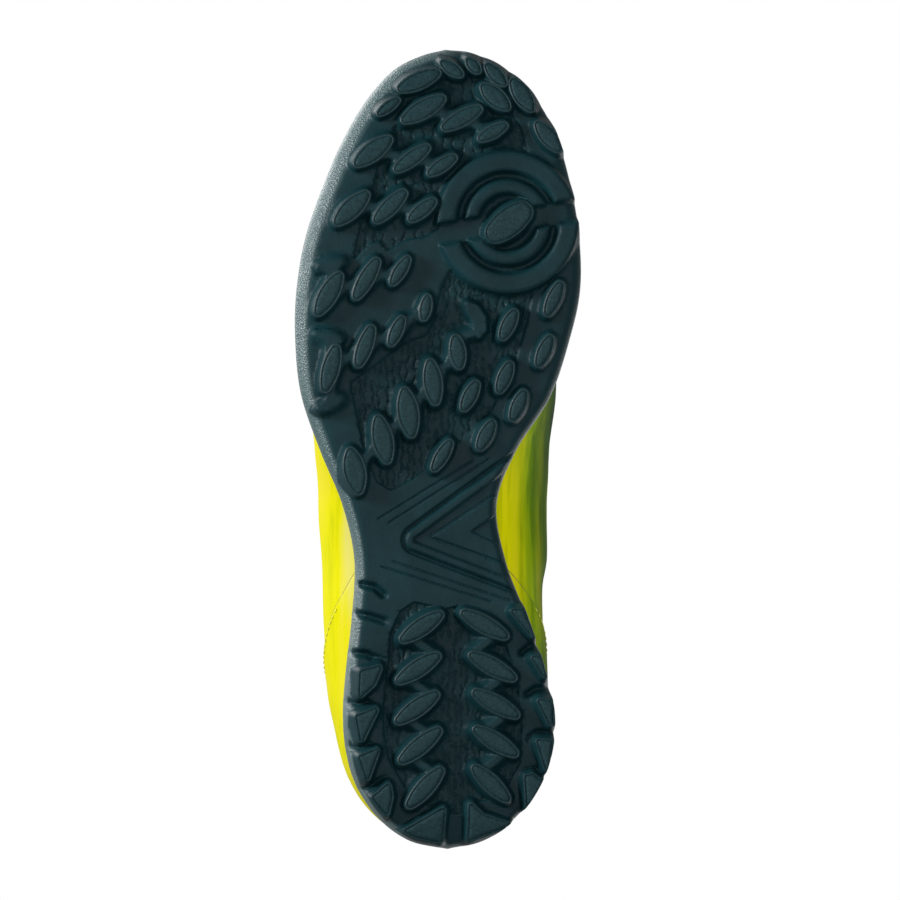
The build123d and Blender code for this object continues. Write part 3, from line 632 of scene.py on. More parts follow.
def fill_points(step=FILL_STEP, start=-146, end=146):
    """Loose points that keep the triangles between the curves even."""
    gx, gy = np.meshgrid(np.arange(-53, 53, step), np.arange(start, end, step * 0.866))
    gx = gx + (np.arange(len(gx)) % 2)[:, None] * step / 2
    p = np.stack([gx.ravel(), gy.ravel()], 1) + rng.uniform(-0.1, 0.1, (gx.size, 2)) * step
    return p[inset(*p.T) > EDGE_IN + 0.25 * step]


def loop_edges(first, count):
    """Edges of a closed line whose points are numbered from first."""
    return [(first + k, first + (k + 1) % count) for k in range(count)]


def tread_mesh():
    """Vertices (mm) and triangles of the tread, and the order of its boundary points."""
    edge = inside_outline(EDGE_IN)
    points, edges, first = [edge], loop_edges(0, len(edge)), len(edge)
    for line, closed in tread_curves():
        keep = inset(*line.T) > EDGE_IN + EDGE_CLEAR
        if closed and keep.all():
            points.append(line)
            edges += loop_edges(first, len(line))
            first += len(line)
            continue
        if closed:
            start = int(np.argmin(keep))
            line, keep = np.roll(line, -start, 0), np.roll(keep, -start)
        for run in runs_of(line, keep):
            points.append(run)
            edges += [(first + k, first + k + 1) for k in range(len(run) - 1)]
            first += len(run)
    fine = fill_points(HEEL_STEP, ARCH_SPAN[1])
    points += [fill_points(end=ARCH_SPAN[0]), fill_points(ARCH_STEP, *ARCH_SPAN),
               fill_points(start=ARCH_SPAN[1]), fine[inset(*fine.T) < HEEL_BAND]]
    made = delaunay_2d_cdt([Vector(p) for p in np.concatenate(points)], edges, [], 0, MERGE)
    verts = np.array([(v.x, v.y) for v in made[0]])
    tris = np.array(made[2])
    tris = tris[inset(*verts[tris].mean(1).T) > EDGE_IN]
    now_at = {i: k for k, ids in enumerate(made[3]) for i in ids}
    return verts, tris, [now_at[k] for k in range(len(edge))]


# ------------------------------------------------------------ making pieces
def new_piece(name, verts, faces, slot, material, replaces=(), body="shoe"):
    """A mesh piece from points in millimetres; one that stands for a CAD node is called after it."""
    mesh = bpy.data.meshes.new(name)
    mesh.from_pydata((np.asarray(verts, float) * MM).tolist(), [], [tuple(int(i) for i in f) for f in faces])
    mesh.update()
    piece = bpy.data.objects.new(name + "_shown" if replaces else name, mesh)
    bpy.context.scene.collection.objects.link(piece)
    mesh.polygons.foreach_set("use_smooth", [True] * len(mesh.polygons))
    mesh.materials.append(material)
    if replaces:
        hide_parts(*replaces)
    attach(piece, body)
    return piece


def strips(rings, first=0, closed=True):
    """Quads between successive rings of equal length, numbered one after another from first."""
    n = len(rings[0])
    faces = []
    for r in range(len(rings) - 1):
        for k in range(n if closed else n - 1):
            a, b = first + r * n + k, first + r * n + (k + 1) % n
            faces.append((a, b, b + n, a + n))
    return faces


# ------------------------------------------------------------ materials
def shader(name):
    """New material, its node tree and its principled shader."""
    material = bpy.data.materials.new(name)
    material.use_nodes = True
    tree = material.node_tree
    return material, tree, tree.nodes["Principled BSDF"]


def node(tree, kind, inputs=(), **settings):
    """New node; its inputs are linked to sockets or set to values."""
    made = tree.nodes.new(kind)
    for key, value in settings.items():
        setattr(made, key, value)
    for key, value in dict(inputs).items():
        if isinstance(value, bpy.types.NodeSocket):
            tree.links.new(value, made.inputs[key])
        else:
            made.inputs[key].default_value = value
    return made


def place(tree, scale=(1, 1, 1), turn=(0, 0, 0)):
    """Object coordinates, scaled and turned."""
    coordinates = node(tree, "ShaderNodeTexCoord")
    return node(tree, "ShaderNodeMapping", {"Vector": coordinates.outputs["Object"], "Scale": scale,
                                            "Rotation": turn}).outputs[0]


def noise(tree, vector, scale, detail=3.0, rough=0.55):
    return node(tree, "ShaderNodeTexNoise", {"Vector": vector, "Scale": scale, "Detail": detail,
                                             "Roughness": rough}).outputs[0]


def maths(tree, operation, a, b=0.0):
    return node(tree, "ShaderNodeMath", {0: a, 1: b}, operation=operation).outputs[0]


def ramp(tree, factor, *stops):
    """Colour ramp from (place, colour) stops."""
    made = node(tree, "ShaderNodeValToRGB", {"Fac": factor})
    elements = made.color_ramp.elements
    while len(elements) < len(stops):
        elements.new(0.5)
    for element, (at, colour) in zip(elements, stops):
        element.position, element.color = at, (*colour, 1)
    return made.outputs[0]


def bump(tree, height, strength, distance, normal=None):
    inputs = {"Height": height, "Strength": strength, "Distance": distance}
    if normal is not None:
        inputs["Normal"] = normal
    return node(tree, "ShaderNodeBump", inputs).outputs[0]


def join(tree, output, socket):
    tree.links.new(output, socket)


def mixed(tree, factor, a, b):
    """Colour from a, at factor 0, to b, at factor 1."""
    return node(tree, "ShaderNodeMix", {0: factor, 6: a, 7: b}, data_type="RGBA").outputs[2]


def painted(tree, name):
    """Value that the mesh keeps for each vertex."""
    return node(tree, "ShaderNodeAttribute", attribute_name=name).outputs["Fac"]


def rubber():
    """Dark rubber: satin field, paler worn stud faces, grained and glossy side wall whose paler colour on the
    lateral side is painted sheen of the key light.
    """
    material, tree, bsdf = shader("outsole_rubber")
    spot = place(tree)
    side, rim = painted(tree, "side"), painted(tree, "rim")
    clouds, specks = noise(tree, spot, 60, 5, 0.6), noise(tree, spot, 900, 4, 0.7)
    plain = ramp(tree, clouds, (0.3, (0.002, 0.014, 0.018)), (0.7, (0.004, 0.024, 0.029)))
    worn = ramp(tree, specks, (0.35, (0.004, 0.018, 0.022)), (0.7, (0.012, 0.036, 0.041)))
    colour = mixed(tree, painted(tree, "worn"), plain, worn)
    # the side wall's paler teal is painted sheen of the key light, on the lateral side only
    join(tree, mixed(tree, side, colour, (0.026, 0.058, 0.062, 1)), bsdf.inputs["Base Color"])
    satin = ramp(tree, noise(tree, spot, 150, 4), (0.3, (0.42,) * 3), (0.7, (0.56,) * 3))
    join(tree, satin, bsdf.inputs["Roughness"])
    mottle = bump(tree, noise(tree, spot, 900, 3, 0.6), 0.35, 0.0004)
    cells = node(tree, "ShaderNodeTexVoronoi", {"Vector": spot, "Scale": 1500.0}).outputs["Distance"]
    grained = bump(tree, maths(tree, "MULTIPLY", cells, side), 0.55, 0.0005, mottle)
    join(tree, grained, bsdf.inputs["Normal"])
    shine = maths(tree, "MAXIMUM", side, maths(tree, "MULTIPLY", rim, 0.3))
    gloss = node(tree, "ShaderNodeMapRange", {0: shine, 3: 0.11, 4: 0.7}).outputs[0]
    join(tree, gloss, bsdf.inputs["Specular IOR Level"])
    return material


# ------------------------------------------------------------ surface of the upper
# lines in the side view, as (y, z)
TOPLINE = [(8, 100), (30, 84), (60, 71), (85, 69), (110, 75), (128, 86), (150, 94)]
VAMP_SEAM = [(-20, 5), (-62, 74), (-66, 125)]
HEEL_PANEL_FRONT = [(31, 8), (40, 17), (54, 27), (72, 45), (94, 74), (110, 100)]
THROAT_END_Y, THROAT_TOP_Y, THROAT_HALF = -70.0, 8.0, (8.0, 18.0)
THROAT_SHOULDER_Y = THROAT_END_Y + THROAT_HALF[0]


def upper_point(side, u, v):
    """Point on the outside of the upper: v runs from 0 at the sole to 1 on the ridge."""
    u, v = np.broadcast_arrays(np.asarray(u, float), np.asarray(v, float))
    foot_y, rim_x, rim_y = station(side, u)
    dx, dy = rim_x - AXIS_X, rim_y - foot_y
    reach = np.hypot(dx, dy)
    edge, low, top = reach - WALL, rocker(rim_y) + along(rim_y, MIDSOLE_TOP), along(foot_y, RIDGE_Z)
    w0, w1, w2, w3 = (1 - v)**3, 3 * (1 - v)**2 * v, 3 * (1 - v) * v**2, v**3
    r = w0 * edge + w1 * (edge + along(rim_y, BULGE[side])) + w2 * along(rim_y, SHOULDER)
    z = w0 * low + w1 * along(rim_y, SIDE_Z) + (w2 + w3) * top
    return np.stack([AXIS_X + dx / reach * r, foot_y + dy / reach * r, z], -1)


def outward(side, u, v, step=0.02):
    """Unit normal of the upper."""
    du = upper_point(side, np.minimum(u + step, U_END), v) - upper_point(side, np.maximum(u - step, 0), v)
    dv = upper_point(side, u, np.minimum(v + step, 1)) - upper_point(side, u, np.maximum(v - step, 0))
    n = np.cross(du, dv) if side == MEDIAL else np.cross(dv, du)
    return n / np.maximum(np.linalg.norm(n, axis=-1, keepdims=True), 1e-9)


def throat_half(y, grow=0.0):
    """Half width of the throat, which has a rounded front end."""
    front, top = THROAT_HALF
    share = np.clip((y - THROAT_SHOULDER_Y) / (THROAT_TOP_Y - THROAT_SHOULDER_Y), 0, 1)
    ahead = np.clip((THROAT_SHOULDER_Y - y) / (front + grow), 0, 1)
    return (front + (top - front) * share + grow) * np.sqrt(1 - ahead**2)


def quick_edge(table):
    """Turns an edge function into a look-up, since the patches ask for it again and again."""
    def decorate(edge):
        known = {}

        def look_up(side, at, *rest):
            key = (side, repr(rest))
            if key not in known:
                known[key] = edge(side, table, *rest)
            return np.interp(at, table, known[key])
        return look_up
    return decorate


RIDGE_START, RIDGE_END, NO_THROAT_Y, TOPLINE_START = 0.3, 0.9999, 40, -10


@quick_edge(U_TABLE)
def v_throat(side, u, grow=0.0):
    """Edge of the throat at u, or the ridge where there is none."""
    def inside(v):
        p = upper_point(side, u, v)
        return np.abs(p[..., 0] - AXIS_X) < throat_half(p[..., 1], grow)
    split = inside(np.full_like(u, RIDGE_END)) & (upper_point(side, u, 1.0)[..., 1] < NO_THROAT_Y)
    return np.where(split, solve(inside, np.full_like(u, RIDGE_START), np.ones_like(u)), 1.0)


@quick_edge(U_TABLE)
def v_side_line(side, u, line, shift=0.0, behind=None):
    """Where the section at u reaches a side-view line, raised by shift, if wanted only behind some y."""
    def over(v):
        p = upper_point(side, u, v)
        share = 1 if behind is None else ease((p[..., 1] - behind) / 8)
        return p[..., 2] > along(p[..., 1], line) + shift * share
    return solve(over, np.zeros_like(u), np.ones_like(u))


@quick_edge(U_TABLE)
def v_top(side, u, grow=0.0, shift=0.0, behind=None):
    """Upper edge of the upper at u: ridge, throat or topline."""
    top = v_throat(side, u, grow)
    back = upper_point(side, u, 1.0)[..., 1] > TOPLINE_START
    return np.where(back, np.minimum(top, v_side_line(side, u, TOPLINE, shift, behind)), top)


@quick_edge(V_TABLE)
def u_of_line(side, v, line, shift=0.0):
    """Where the row at v crosses a side-view line, moved back by shift."""
    y, z = np.array(line, float).T

    def behind(u):
        p = upper_point(side, u, v)
        return p[..., 1] > np.interp(p[..., 2], z, y) + shift
    return solve(behind, np.zeros_like(v), np.full_like(v, U_END))


def plumb(y):
    """Side-view line straight up at y."""
    return [(y, 0), (y, 200)]


def patch(side, front, back, bottom, top, nu, nv):
    """(u, v) grid between two edges across the shoe and two along it; each edge is a function."""
    s, t = np.meshgrid(np.linspace(0, 1, nu), np.linspace(0, 1, nv), indexing="ij")
    u, v = s * U_END, t
    for _ in range(25):
        u = front(side, v) + s * (back(side, v) - front(side, v))
        v = bottom(side, u) + t * (top(side, u) - bottom(side, u))
    return u, v


def grid_quads(n, m, side):
    """Quads of an n by m grid on one side of the shoe, facing out."""
    a = (np.arange(n - 1)[:, None] * m + np.arange(m - 1)).ravel()
    quads = np.stack([a, a + m, a + m + 1, a + 1], 1)
    return quads if side == MEDIAL else quads[:, ::-1]


def sheet(side, u, v, lift=0.0):
    """Points of a (u, v) grid and its quads, facing out."""
    p = upper_point(side, u, v) + outward(side, u, v) * np.asarray(lift)[..., None]
    return p.reshape(-1, 3), grid_quads(*u.shape, side)


def toe(side, v):
    return np.zeros_like(v)


def heel(side, v):
    return np.full_like(v, U_END)


def sole_line(side, u):
    return np.zeros_like(u)


def weld(piece):
    """Joins vertices that coincide and turns the faces outward."""
    made = bmesh.new()
    made.from_mesh(piece.data)
    bmesh.ops.remove_doubles(made, verts=made.verts, dist=0.02 * MM)
    bmesh.ops.dissolve_degenerate(made, edges=made.edges, dist=0.005 * MM)
    bmesh.ops.recalc_face_normals(made, faces=made.faces)
    made.to_mesh(piece.data)
    made.free()


def gathered(parts):
    """Several (points, faces) as one."""
    firsts = np.cumsum([0] + [len(p) for p, _ in parts[:-1]])
    faces = [tuple(i + first for i in face) for (_, q), first in zip(parts, firsts) for face in q]
    return np.concatenate([p for p, _ in parts]), faces


# piece: the width and length in metres that its flat cut takes, the area of the cut, and what it lies on
CUTS = {
    "vamp": (0.17, 0.13, 0.0136, "lasting_board"),
    "quarter_lateral": (0.095, 0.21, 0.0150, "lasting_board"),
    "quarter_medial": (0.095, 0.21, 0.0153, "lasting_board"),
    "heel_panel": (0.075, 0.25, 0.0109, "heel_counter"),
    "eyestay_lateral": (0.02, 0.1, 0.0014, "quarter_lateral"),
    "eyestay_medial": (0.02, 0.1, 0.0014, "quarter_medial"),
    "vamp_lining": (0.16, 0.125, 0.0124, "lasting_board"),
    "quarter_lining": (0.095, 0.42, 0.0250, "lasting_board"),
    "upper_backing": (0.27, 0.31, 0.0413, "lasting_board"),
    "tongue_shell": (0.04, 0.115, 0.0038, "tongue_padding"),
    "sockliner_cover": (0.088, 0.275, 0.0160, "sockliner_foam"),
}


def stitched(name, parts, thickness, material, slot, body="shoe", edge=0.0):
    """One piece of sheet material from several grids, welded where they meet and thickened inward."""
    piece = new_piece(name, *gathered(parts), slot, material, [name], body)
    weld(piece)
    width, length, area, under = CUTS[name]
    solid = piece.modifiers.new("thickness", "SOLIDIFY")
    solid.thickness, solid.offset = thickness * MM, -1
    if edge:
        round_edge = piece.modifiers.new("edge", "BEVEL")
        round_edge.width, round_edge.segments, round_edge.limit_method = edge * MM, 2, "ANGLE"
        round_edge.angle_limit = radians(50)


# ------------------------------------------------------------ outsole
# how far in from the outline, and the share of the way up to the lip: outside from the tread, inside from
# the floor of the cup
OUTER_WALL = [(0.1, 0.08), (-0.2, 0.2), (-0.45, 0.4), (-0.4, 0.7), (-0.1, 0.93), (0.3, 0.99), (0.9, 1.0),
              (1.6, 0.98)]
INNER_WALL = [(2.0, 0.9), (2.6, 0.5), (3.2, 0.0)]
LIP_OVERLAP, LIP_LEAST, LOW_V = 0.6, 2.0, 0.45
CUP_STEP = 6.0         # spacing of the points of the cup's floor
WORN_FROM, WORN_OVER = 4.0, 0.35
RIM_OFF, RIM_HALF, RIM_LEAST = 0.65, 0.6, 2.5
# where the side wall mask lies: the open edge, then its fade towards the medial side, away from the key
# light, so its painted sheen stays lateral
SIDE_FALL, SIDE_FLAT, SIDE_END_X, SIDE_FADE = 0.25, 0.4, 10, 9


def meeting_height(side):
    """Rim y and the height at which the bulging upper passes over the edge of the sole."""
    foot_y, rim_x, rim_y = station(side, U_TABLE)
    reach = np.hypot(rim_x - AXIS_X, rim_y - foot_y)

    def out(v):
        p = upper_point(side, U_TABLE, v)
        return np.hypot(p[..., 0] - AXIS_X, p[..., 1] - foot_y) > reach - LIP_OVERLAP
    v = solve(out, np.zeros(len(U_TABLE)), np.full(len(U_TABLE), LOW_V))
    return rim_y, upper_point(side, U_TABLE, v)[..., 2]


def cup_floor(ring):
    """Flat points and triangles inside a ring; the first ones are the ring's, in its order."""
    n = len(ring)
    inside = fill_points(CUP_STEP)
    inside = inside[inset(*inside.T) > CUP_STEP]
    made = delaunay_2d_cdt([Vector(p) for p in np.vstack([ring, inside])], loop_edges(0, n), [], 1, 0.001)
    source = [min(ids, default=n) for ids in made[3]]
    added = [k for k, i in enumerate(source) if i >= n]
    index = {k: i for k, i in enumerate(source) if i < n}
    index.update({k: n + j for j, k in enumerate(added)})
    return np.array([made[0][k][:] for k in added]), [tuple(index[k] for k in t) for t in made[2]]


def wall_rings(profile, bottom, lip):
    """Rings round the sole that follow a (distance in, share of the height) profile."""
    return [np.column_stack([inside_outline(d), bottom + share * (lip - bottom)]) for d, share in profile]


def outsole():
    """Rubber cup: tread, side wall and the inside that holds the midsole."""
    flat, tris, boundary = tread_mesh()
    height = tread_height(*flat.T)
    verts = np.column_stack([flat, rocker(flat[:, 1]) + TREAD - height])
    edge_z, y = verts[boundary, 2], outline_y
    lateral, medial = (np.interp(y, *meeting_height(side)) for side in SIDES)
    meeting = np.where(outline_x < AXIS_X, lateral, medial)
    lip = np.maximum(np.minimum(rocker(y) + along(y, LIP), meeting), edge_z + LIP_LEAST)
    rings = wall_rings(OUTER_WALL, edge_z, lip) + wall_rings(INNER_WALL, rocker(y) + RUBBER_TOP, lip)
    first = len(verts)
    verts = np.vstack([verts, *rings])
    order = boundary + list(range(first, len(verts)))
    faces = [tuple(t[::-1]) for t in tris]
    faces += [tuple(order[i] for i in quad)[::-1] for quad in strips([boundary] + rings)]
    floor, floor_tris = cup_floor(rings[-1][:, :2])
    last_ring = len(verts) - len(boundary)
    verts = np.vstack([verts, np.column_stack([floor, rocker(floor[:, 1]) + RUBBER_TOP])])
    faces += [tuple(last_ring + k for k in t) for t in floor_tris]
    piece = new_piece("outsole_rubber", verts, faces, "outsole_rubber", rubber(), ["outsole"])

    fall = rounded_edge(*flat.T, inset(*flat.T))
    open_edge = ease(-SIDE_FALL - fall) * ease(1 - np.abs(height - fall) / SIDE_FLAT)
    on_rim = ease(1 - np.abs(near_stud(*flat.T) - RIM_OFF) / RIM_HALF) * (height > RIM_LEAST)
    for name, values, elsewhere in (("worn", ease((height - WORN_FROM) / WORN_OVER), 0),
                                    ("rim", on_rim, 0),
                                    # side wall: real grain and gloss, plus paler painted sheen, faded out
                                    # towards the medial side
                                    ("side", open_edge * ease((SIDE_END_X - flat[:, 0]) / SIDE_FADE), 1)):
        values = np.append(values, np.full(len(verts) - len(values), float(elsewhere)))
        piece.data.attributes.new(name, "FLOAT", "POINT").data.foreach_set("value", values)


# ------------------------------------------------------------ upper materials
UPPER_COLOURS = [      # ramps over the streaks: yellow, the same painted darker where the key light falls, and a mid and a deep painted shade for the medial side
    [(0.30, (0.50, 0.53, 0.0)), (0.48, (0.72, 0.70, 0.0)), (0.68, (0.78, 0.70, 0.01))],
    [(0.30, (0.33, 0.34, 0.0)), (0.48, (0.43, 0.41, 0.0)), (0.68, (0.45, 0.40, 0.015))],
    [(0.32, (0.10, 0.20, 0.0)), (0.52, (0.26, 0.38, 0.0)), (0.72, (0.55, 0.52, 0.0))],
    [(0.35, (0.004, 0.022, 0.0)), (0.65, (0.03, 0.09, 0.0))],
]


def streaked():
    """Coated synthetic in neon yellow with long streaks; painted shade darkens it low on the medial side, and
    on the lateral side it is painted darker with pale streaks of painted sheen where the key light falls.
    """
    material, tree, bsdf = shader("upper_synthetic")
    spot = node(tree, "ShaderNodeSeparateXYZ", {"Vector": place(tree)})
    x, y, z = spot.outputs

    def between(value, start, end):
        """0 at start and 1 at end."""
        return node(tree, "ShaderNodeMapRange", {0: value, 1: start, 2: end},
                    interpolation_type="SMOOTHSTEP").outputs[0]

    def both(a, b):
        return maths(tree, "MULTIPLY", a, b)

    streaks = noise(tree, place(tree, (260, 12, 60), (0, 0, 0.06)), 1.0, 5, 0.6)
    broad = noise(tree, place(tree, (90, 9, 30), (0, 0, 0.16)), 1.0, 3, 0.5)
    yellow, lit, painted_shade_mid, painted_shade_deep = (ramp(tree, streaks, *stops) for stops in UPPER_COLOURS)
    painted_sheen_streaks = ramp(tree, broad, (0.50, (0, 0, 0)), (0.62, (1, 1, 1)))
    left = both(between(x, -0.020, -0.034), between(y, 0.070, 0.045))
    # rear and wavy place the painted shade: low on the shoe, back from the forefoot, towards the medial edge
    rear = both(between(y, -0.095, -0.025), between(z, 0.072, 0.044))
    wavy = maths(tree, "ADD", x, both(maths(tree, "SUBTRACT", broad, 0.5), 0.008))
    # the lateral side takes a darker copy of the yellow: painted darker to offset the key light
    colour = mixed(tree, between(x, -0.005, -0.030), yellow, lit)
    # pale streaks on the lateral side only: painted sheen where the key light falls
    colour = mixed(tree, both(painted_sheen_streaks, left), colour, (0.43, 0.40, 0.09, 1))
    # mid and then deep painted shade towards the medial edge, away from the key light
    colour = mixed(tree, both(between(wavy, 0.026, 0.037), rear), colour, painted_shade_mid)
    colour = mixed(tree, both(between(wavy, 0.036, 0.045), rear), colour, painted_shade_deep)
    join(tree, colour, bsdf.inputs["Base Color"])
    bsdf.inputs["Roughness"].default_value = 0.6
    bsdf.inputs["Specular IOR Level"].default_value = 0.02
    grain = noise(tree, place(tree), 1500, 4, 0.6)
    soft = noise(tree, place(tree, (90, 14, 40)), 1.0, 3)
    join(tree, bump(tree, grain, 0.25, 0.0002, bump(tree, soft, 0.3, 0.0008)), bsdf.inputs["Normal"])
    return material


def fabric(name, dark, light, scale=900.0, rough=0.85):
    """Knitted or woven cloth from crossed waves."""
    material, tree, bsdf = shader(name)
    spot = place(tree)
    waves = [node(tree, "ShaderNodeTexWave", {"Vector": spot, "Scale": scale / 3, "Distortion": 0.4},
                  bands_direction=axis).outputs["Fac"] for axis in ("X", "Y", "Z")]
    weave = maths(tree, "MULTIPLY", maths(tree, "ADD", waves[0], waves[2]), waves[1])
    mottle = maths(tree, "MULTIPLY", noise(tree, spot, 300, 3), 0.5)
    shade = maths(tree, "ADD", maths(tree, "MULTIPLY", weave, 0.35), mottle)
    join(tree, ramp(tree, shade, (0.15, dark), (0.75, light)), bsdf.inputs["Base Color"])
    join(tree, bump(tree, weave, 0.5, 0.0003), bsdf.inputs["Normal"])
    bsdf.inputs["Roughness"].default_value = rough
    bsdf.inputs["Sheen Weight"].default_value = 0.3
    return material


def moulded(name, dark, light, rough=0.5):
    """Plain moulded or pressed stock with a fine grain."""
    material, tree, bsdf = shader(name)
    spot = place(tree)
    join(tree, ramp(tree, noise(tree, spot, 120, 4), (0.3, dark), (0.7, light)), bsdf.inputs["Base Color"])
    join(tree, bump(tree, noise(tree, spot, 1200, 3), 0.2, 0.0002), bsdf.inputs["Normal"])
    bsdf.inputs["Roughness"].default_value = rough
    return material


upper_coat = streaked()
overlay_coat = moulded("overlay_synthetic", (0.006, 0.024, 0.030), (0.012, 0.040, 0.046), 0.42)
lining_mesh = fabric("lining_mesh", (0.010, 0.030, 0.034), (0.040, 0.085, 0.090))
tongue_cloth = fabric("tongue_fabric", (0.30, 0.34, 0.0), (0.80, 0.82, 0.02), 700)
lace_weave = fabric("lace_cord", (0.010, 0.035, 0.040), (0.035, 0.080, 0.088), 1500, 0.7)
foam = moulded("midsole_foam", (0.05, 0.06, 0.06), (0.10, 0.11, 0.11), 0.8)
board = moulded("board", (0.35, 0.30, 0.22), (0.45, 0.40, 0.30), 0.9)
stiffener = moulded("stiffener", (0.25, 0.24, 0.2), (0.35, 0.33, 0.28), 0.7)
backing = fabric("backing_foam", (0.020, 0.035, 0.036), (0.050, 0.075, 0.078), 600)
# dark paint for the strip of painted shadow along the heel panel's front edge
edge_shadow_paint = moulded("edge_shadow_paint", (0.030, 0.040, 0.0), (0.060, 0.070, 0.0), 0.7)
sock_cloth = fabric("sockliner_cover", (0.008, 0.028, 0.032), (0.03, 0.075, 0.08), 500)
eyelet_gloss = moulded("eyelet", (0.004, 0.014, 0.018), (0.008, 0.024, 0.028), 0.3)
thread = fabric("thread", (0.40, 0.42, 0.0), (0.75, 0.74, 0.02), 2500)
for name, material in [("midsole", foam), ("lasting_board", board), ("toe_puff", stiffener),
                       ("heel_counter", stiffener)]:
    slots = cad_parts[name].data.materials
    slots.clear()
    slots.append(material)


# ------------------------------------------------------------ upper panels
SHELL, OVERLAY, LINING, FOAM_LAYER, TONGUE_SHELL = 1.4, 0.85, 0.6, 0.9, 0.7
OVERLAY_UP, LINING_DOWN, FOAM_DOWN = 0.9, -3.0, -1.7       # outer faces, from the outside of the upper
SHELL_EDGE = 0.25
PANEL_MARGIN = -6      # heel panel to the topline
EYESTAY_W, EYESTAY_FRONT_Y, EYESTAY_BACK_Y = 14.0, -61.0, 32.0
COLLAR_START, LINING_END = 36, -15     # behind this y the lining stops this far below the topline


def seam(side, v):
    return u_of_line(side, v, VAMP_SEAM)


def heel_front(side, v):
    return u_of_line(side, v, HEEL_PANEL_FRONT)


def under_topline(side, u):
    return v_side_line(side, u, TOPLINE, PANEL_MARGIN)


def eyestay_front(side, v):
    return u_of_line(side, v, plumb(EYESTAY_FRONT_Y))


def eyestay_back(side, v):
    return u_of_line(side, v, plumb(EYESTAY_BACK_Y))


def eyestay_outer(side, u):
    return np.minimum(v_throat(side, u, EYESTAY_W), v_top(side, u) - 0.05)


def under_collar(side, u):
    return v_top(side, u, 0.0, LINING_END, COLLAR_START)


def backing_top(side, u):
    return v_top(side, u, 0.5, -2)


def panels(edges, nu, nv, lift=0.0):
    """The same panel on each side of the shoe."""
    return [sheet(side, *patch(side, *edges, nu, nv), lift) for side in SIDES]


def upper():
    """Vamp, quarters, heel overlay and eyestays, with the lining cloth and foam behind them."""
    coat, overlay = (upper_coat, "upper_synthetic"), (overlay_coat, "overlay_synthetic")
    mesh = (lining_mesh, "lining_mesh")
    vamp_edges, quarter_edges = (toe, seam, sole_line, v_top), (seam, heel, sole_line, v_top)
    stitched("vamp", panels(vamp_edges, 70, 44), SHELL, *coat, edge=SHELL_EDGE)
    for name, part in zip(("quarter_lateral", "quarter_medial"), panels(quarter_edges, 120, 40)):
        stitched(name, [part], SHELL, *coat, edge=SHELL_EDGE)
    heel_parts = panels((heel_front, heel, sole_line, under_topline), 70, 24, OVERLAY_UP)
    stitched("heel_panel", heel_parts, OVERLAY, upper_coat, "overlay_synthetic", edge=SHELL_EDGE)
    eyestays = panels((eyestay_front, eyestay_back, eyestay_outer, v_top), 80, 16, OVERLAY_UP)
    for name, part in zip(("eyestay_lateral", "eyestay_medial"), eyestays):
        stitched(name, [part], OVERLAY, *overlay, edge=SHELL_EDGE)
    stitched("vamp_lining", panels(vamp_edges, 60, 36, LINING_DOWN), LINING, *mesh)
    stitched("quarter_lining", panels((*quarter_edges[:3], under_collar), 90, 30, LINING_DOWN), LINING, *mesh)
    under = panels((toe, heel, sole_line, backing_top), 150, 36, FOAM_DOWN)
    stitched("upper_backing", under, FOAM_LAYER, backing, "backing_foam")


def flip(part):
    """The same grid with its faces turned over."""
    points, faces = part
    return points, faces[:, ::-1]


PUFF_STEPS, PRESSURE, STIFFNESS = 20, 4.0, 12


def puff(piece, cap, held=None):
    """Swells a closed form under inner pressure; no point moves more than cap, and held ones stay."""
    start = np.array([v.co for v in piece.data.vertices])
    cloth = piece.modifiers.new("cloth", "CLOTH")
    cloth.settings.quality, cloth.settings.mass = 5, 0.05
    cloth.settings.tension_stiffness = cloth.settings.compression_stiffness = STIFFNESS
    cloth.settings.bending_stiffness = 0.4
    cloth.settings.effector_weights.gravity = 0
    cloth.settings.use_pressure, cloth.settings.uniform_pressure_force = True, PRESSURE
    if held is not None:
        group = piece.vertex_groups.new(name="held")
        group.add([int(i) for i in np.flatnonzero(held)], 1.0, "REPLACE")
        cloth.settings.vertex_group_mass = "held"
    cloth.point_cache.frame_start, cloth.point_cache.frame_end = 1, PUFF_STEPS
    for step in range(1, PUFF_STEPS + 1):
        bpy.context.scene.frame_set(step)
    shape = piece.evaluated_get(bpy.context.evaluated_depsgraph_get()).to_mesh()
    moved = np.array([v.co for v in shape.vertices]) - start
    size = np.maximum(np.linalg.norm(moved, axis=1, keepdims=True), 1e-9)
    moved *= np.minimum(1, cap * MM / size)
    piece.modifiers.remove(cloth)
    piece.data.vertices.foreach_set("co", (start + np.nan_to_num(moved)).ravel())
    piece.data.update()
    bpy.context.scene.frame_set(1)


def subdivided(piece):
    """Smooths a padded piece's surface."""
    smooth = piece.modifiers.new("smooth", "SUBSURF")
    smooth.levels = smooth.render_levels = 1


COLLAR_FRONT_Y, COLLAR_DEEP, COLLAR_OVER = 32.0, 21.0, 1.2     # ends, below and above the topline
COLLAR_OUT, COLLAR_IN = 1.5, 6.4       # outer and inner face, in from the outside of the upper
COLLAR_ROUND, COLLAR_HELD, COLLAR_PUFF, TONGUE_PUFF = 0.8, 0.2, 1.0, 1.1
COLLAR_AROUND, COLLAR_ALONG, COLLAR_TAPER = 28, 84, 0.55       # points round it and along, and its taper


def squared(values, power):
    """Cosines or sines raised so that the round they make becomes squarer."""
    return np.sign(values) * np.abs(values) ** power


def capped(rings):
    """Vertices and faces of a tube through rings, closed to a point at the middle of each end."""
    n, count = len(rings[0]), len(rings) * len(rings[0])
    turn = np.arange(n)
    after = (turn + 1) % n
    first = [(count, int(b), int(a)) for a, b in zip(turn, after)]
    last = [(count + 1, int(count - n + a), int(count - n + b)) for a, b in zip(turn, after)]
    return np.vstack([*rings, rings[0].mean(0), rings[-1].mean(0)]), strips(rings) + first + last


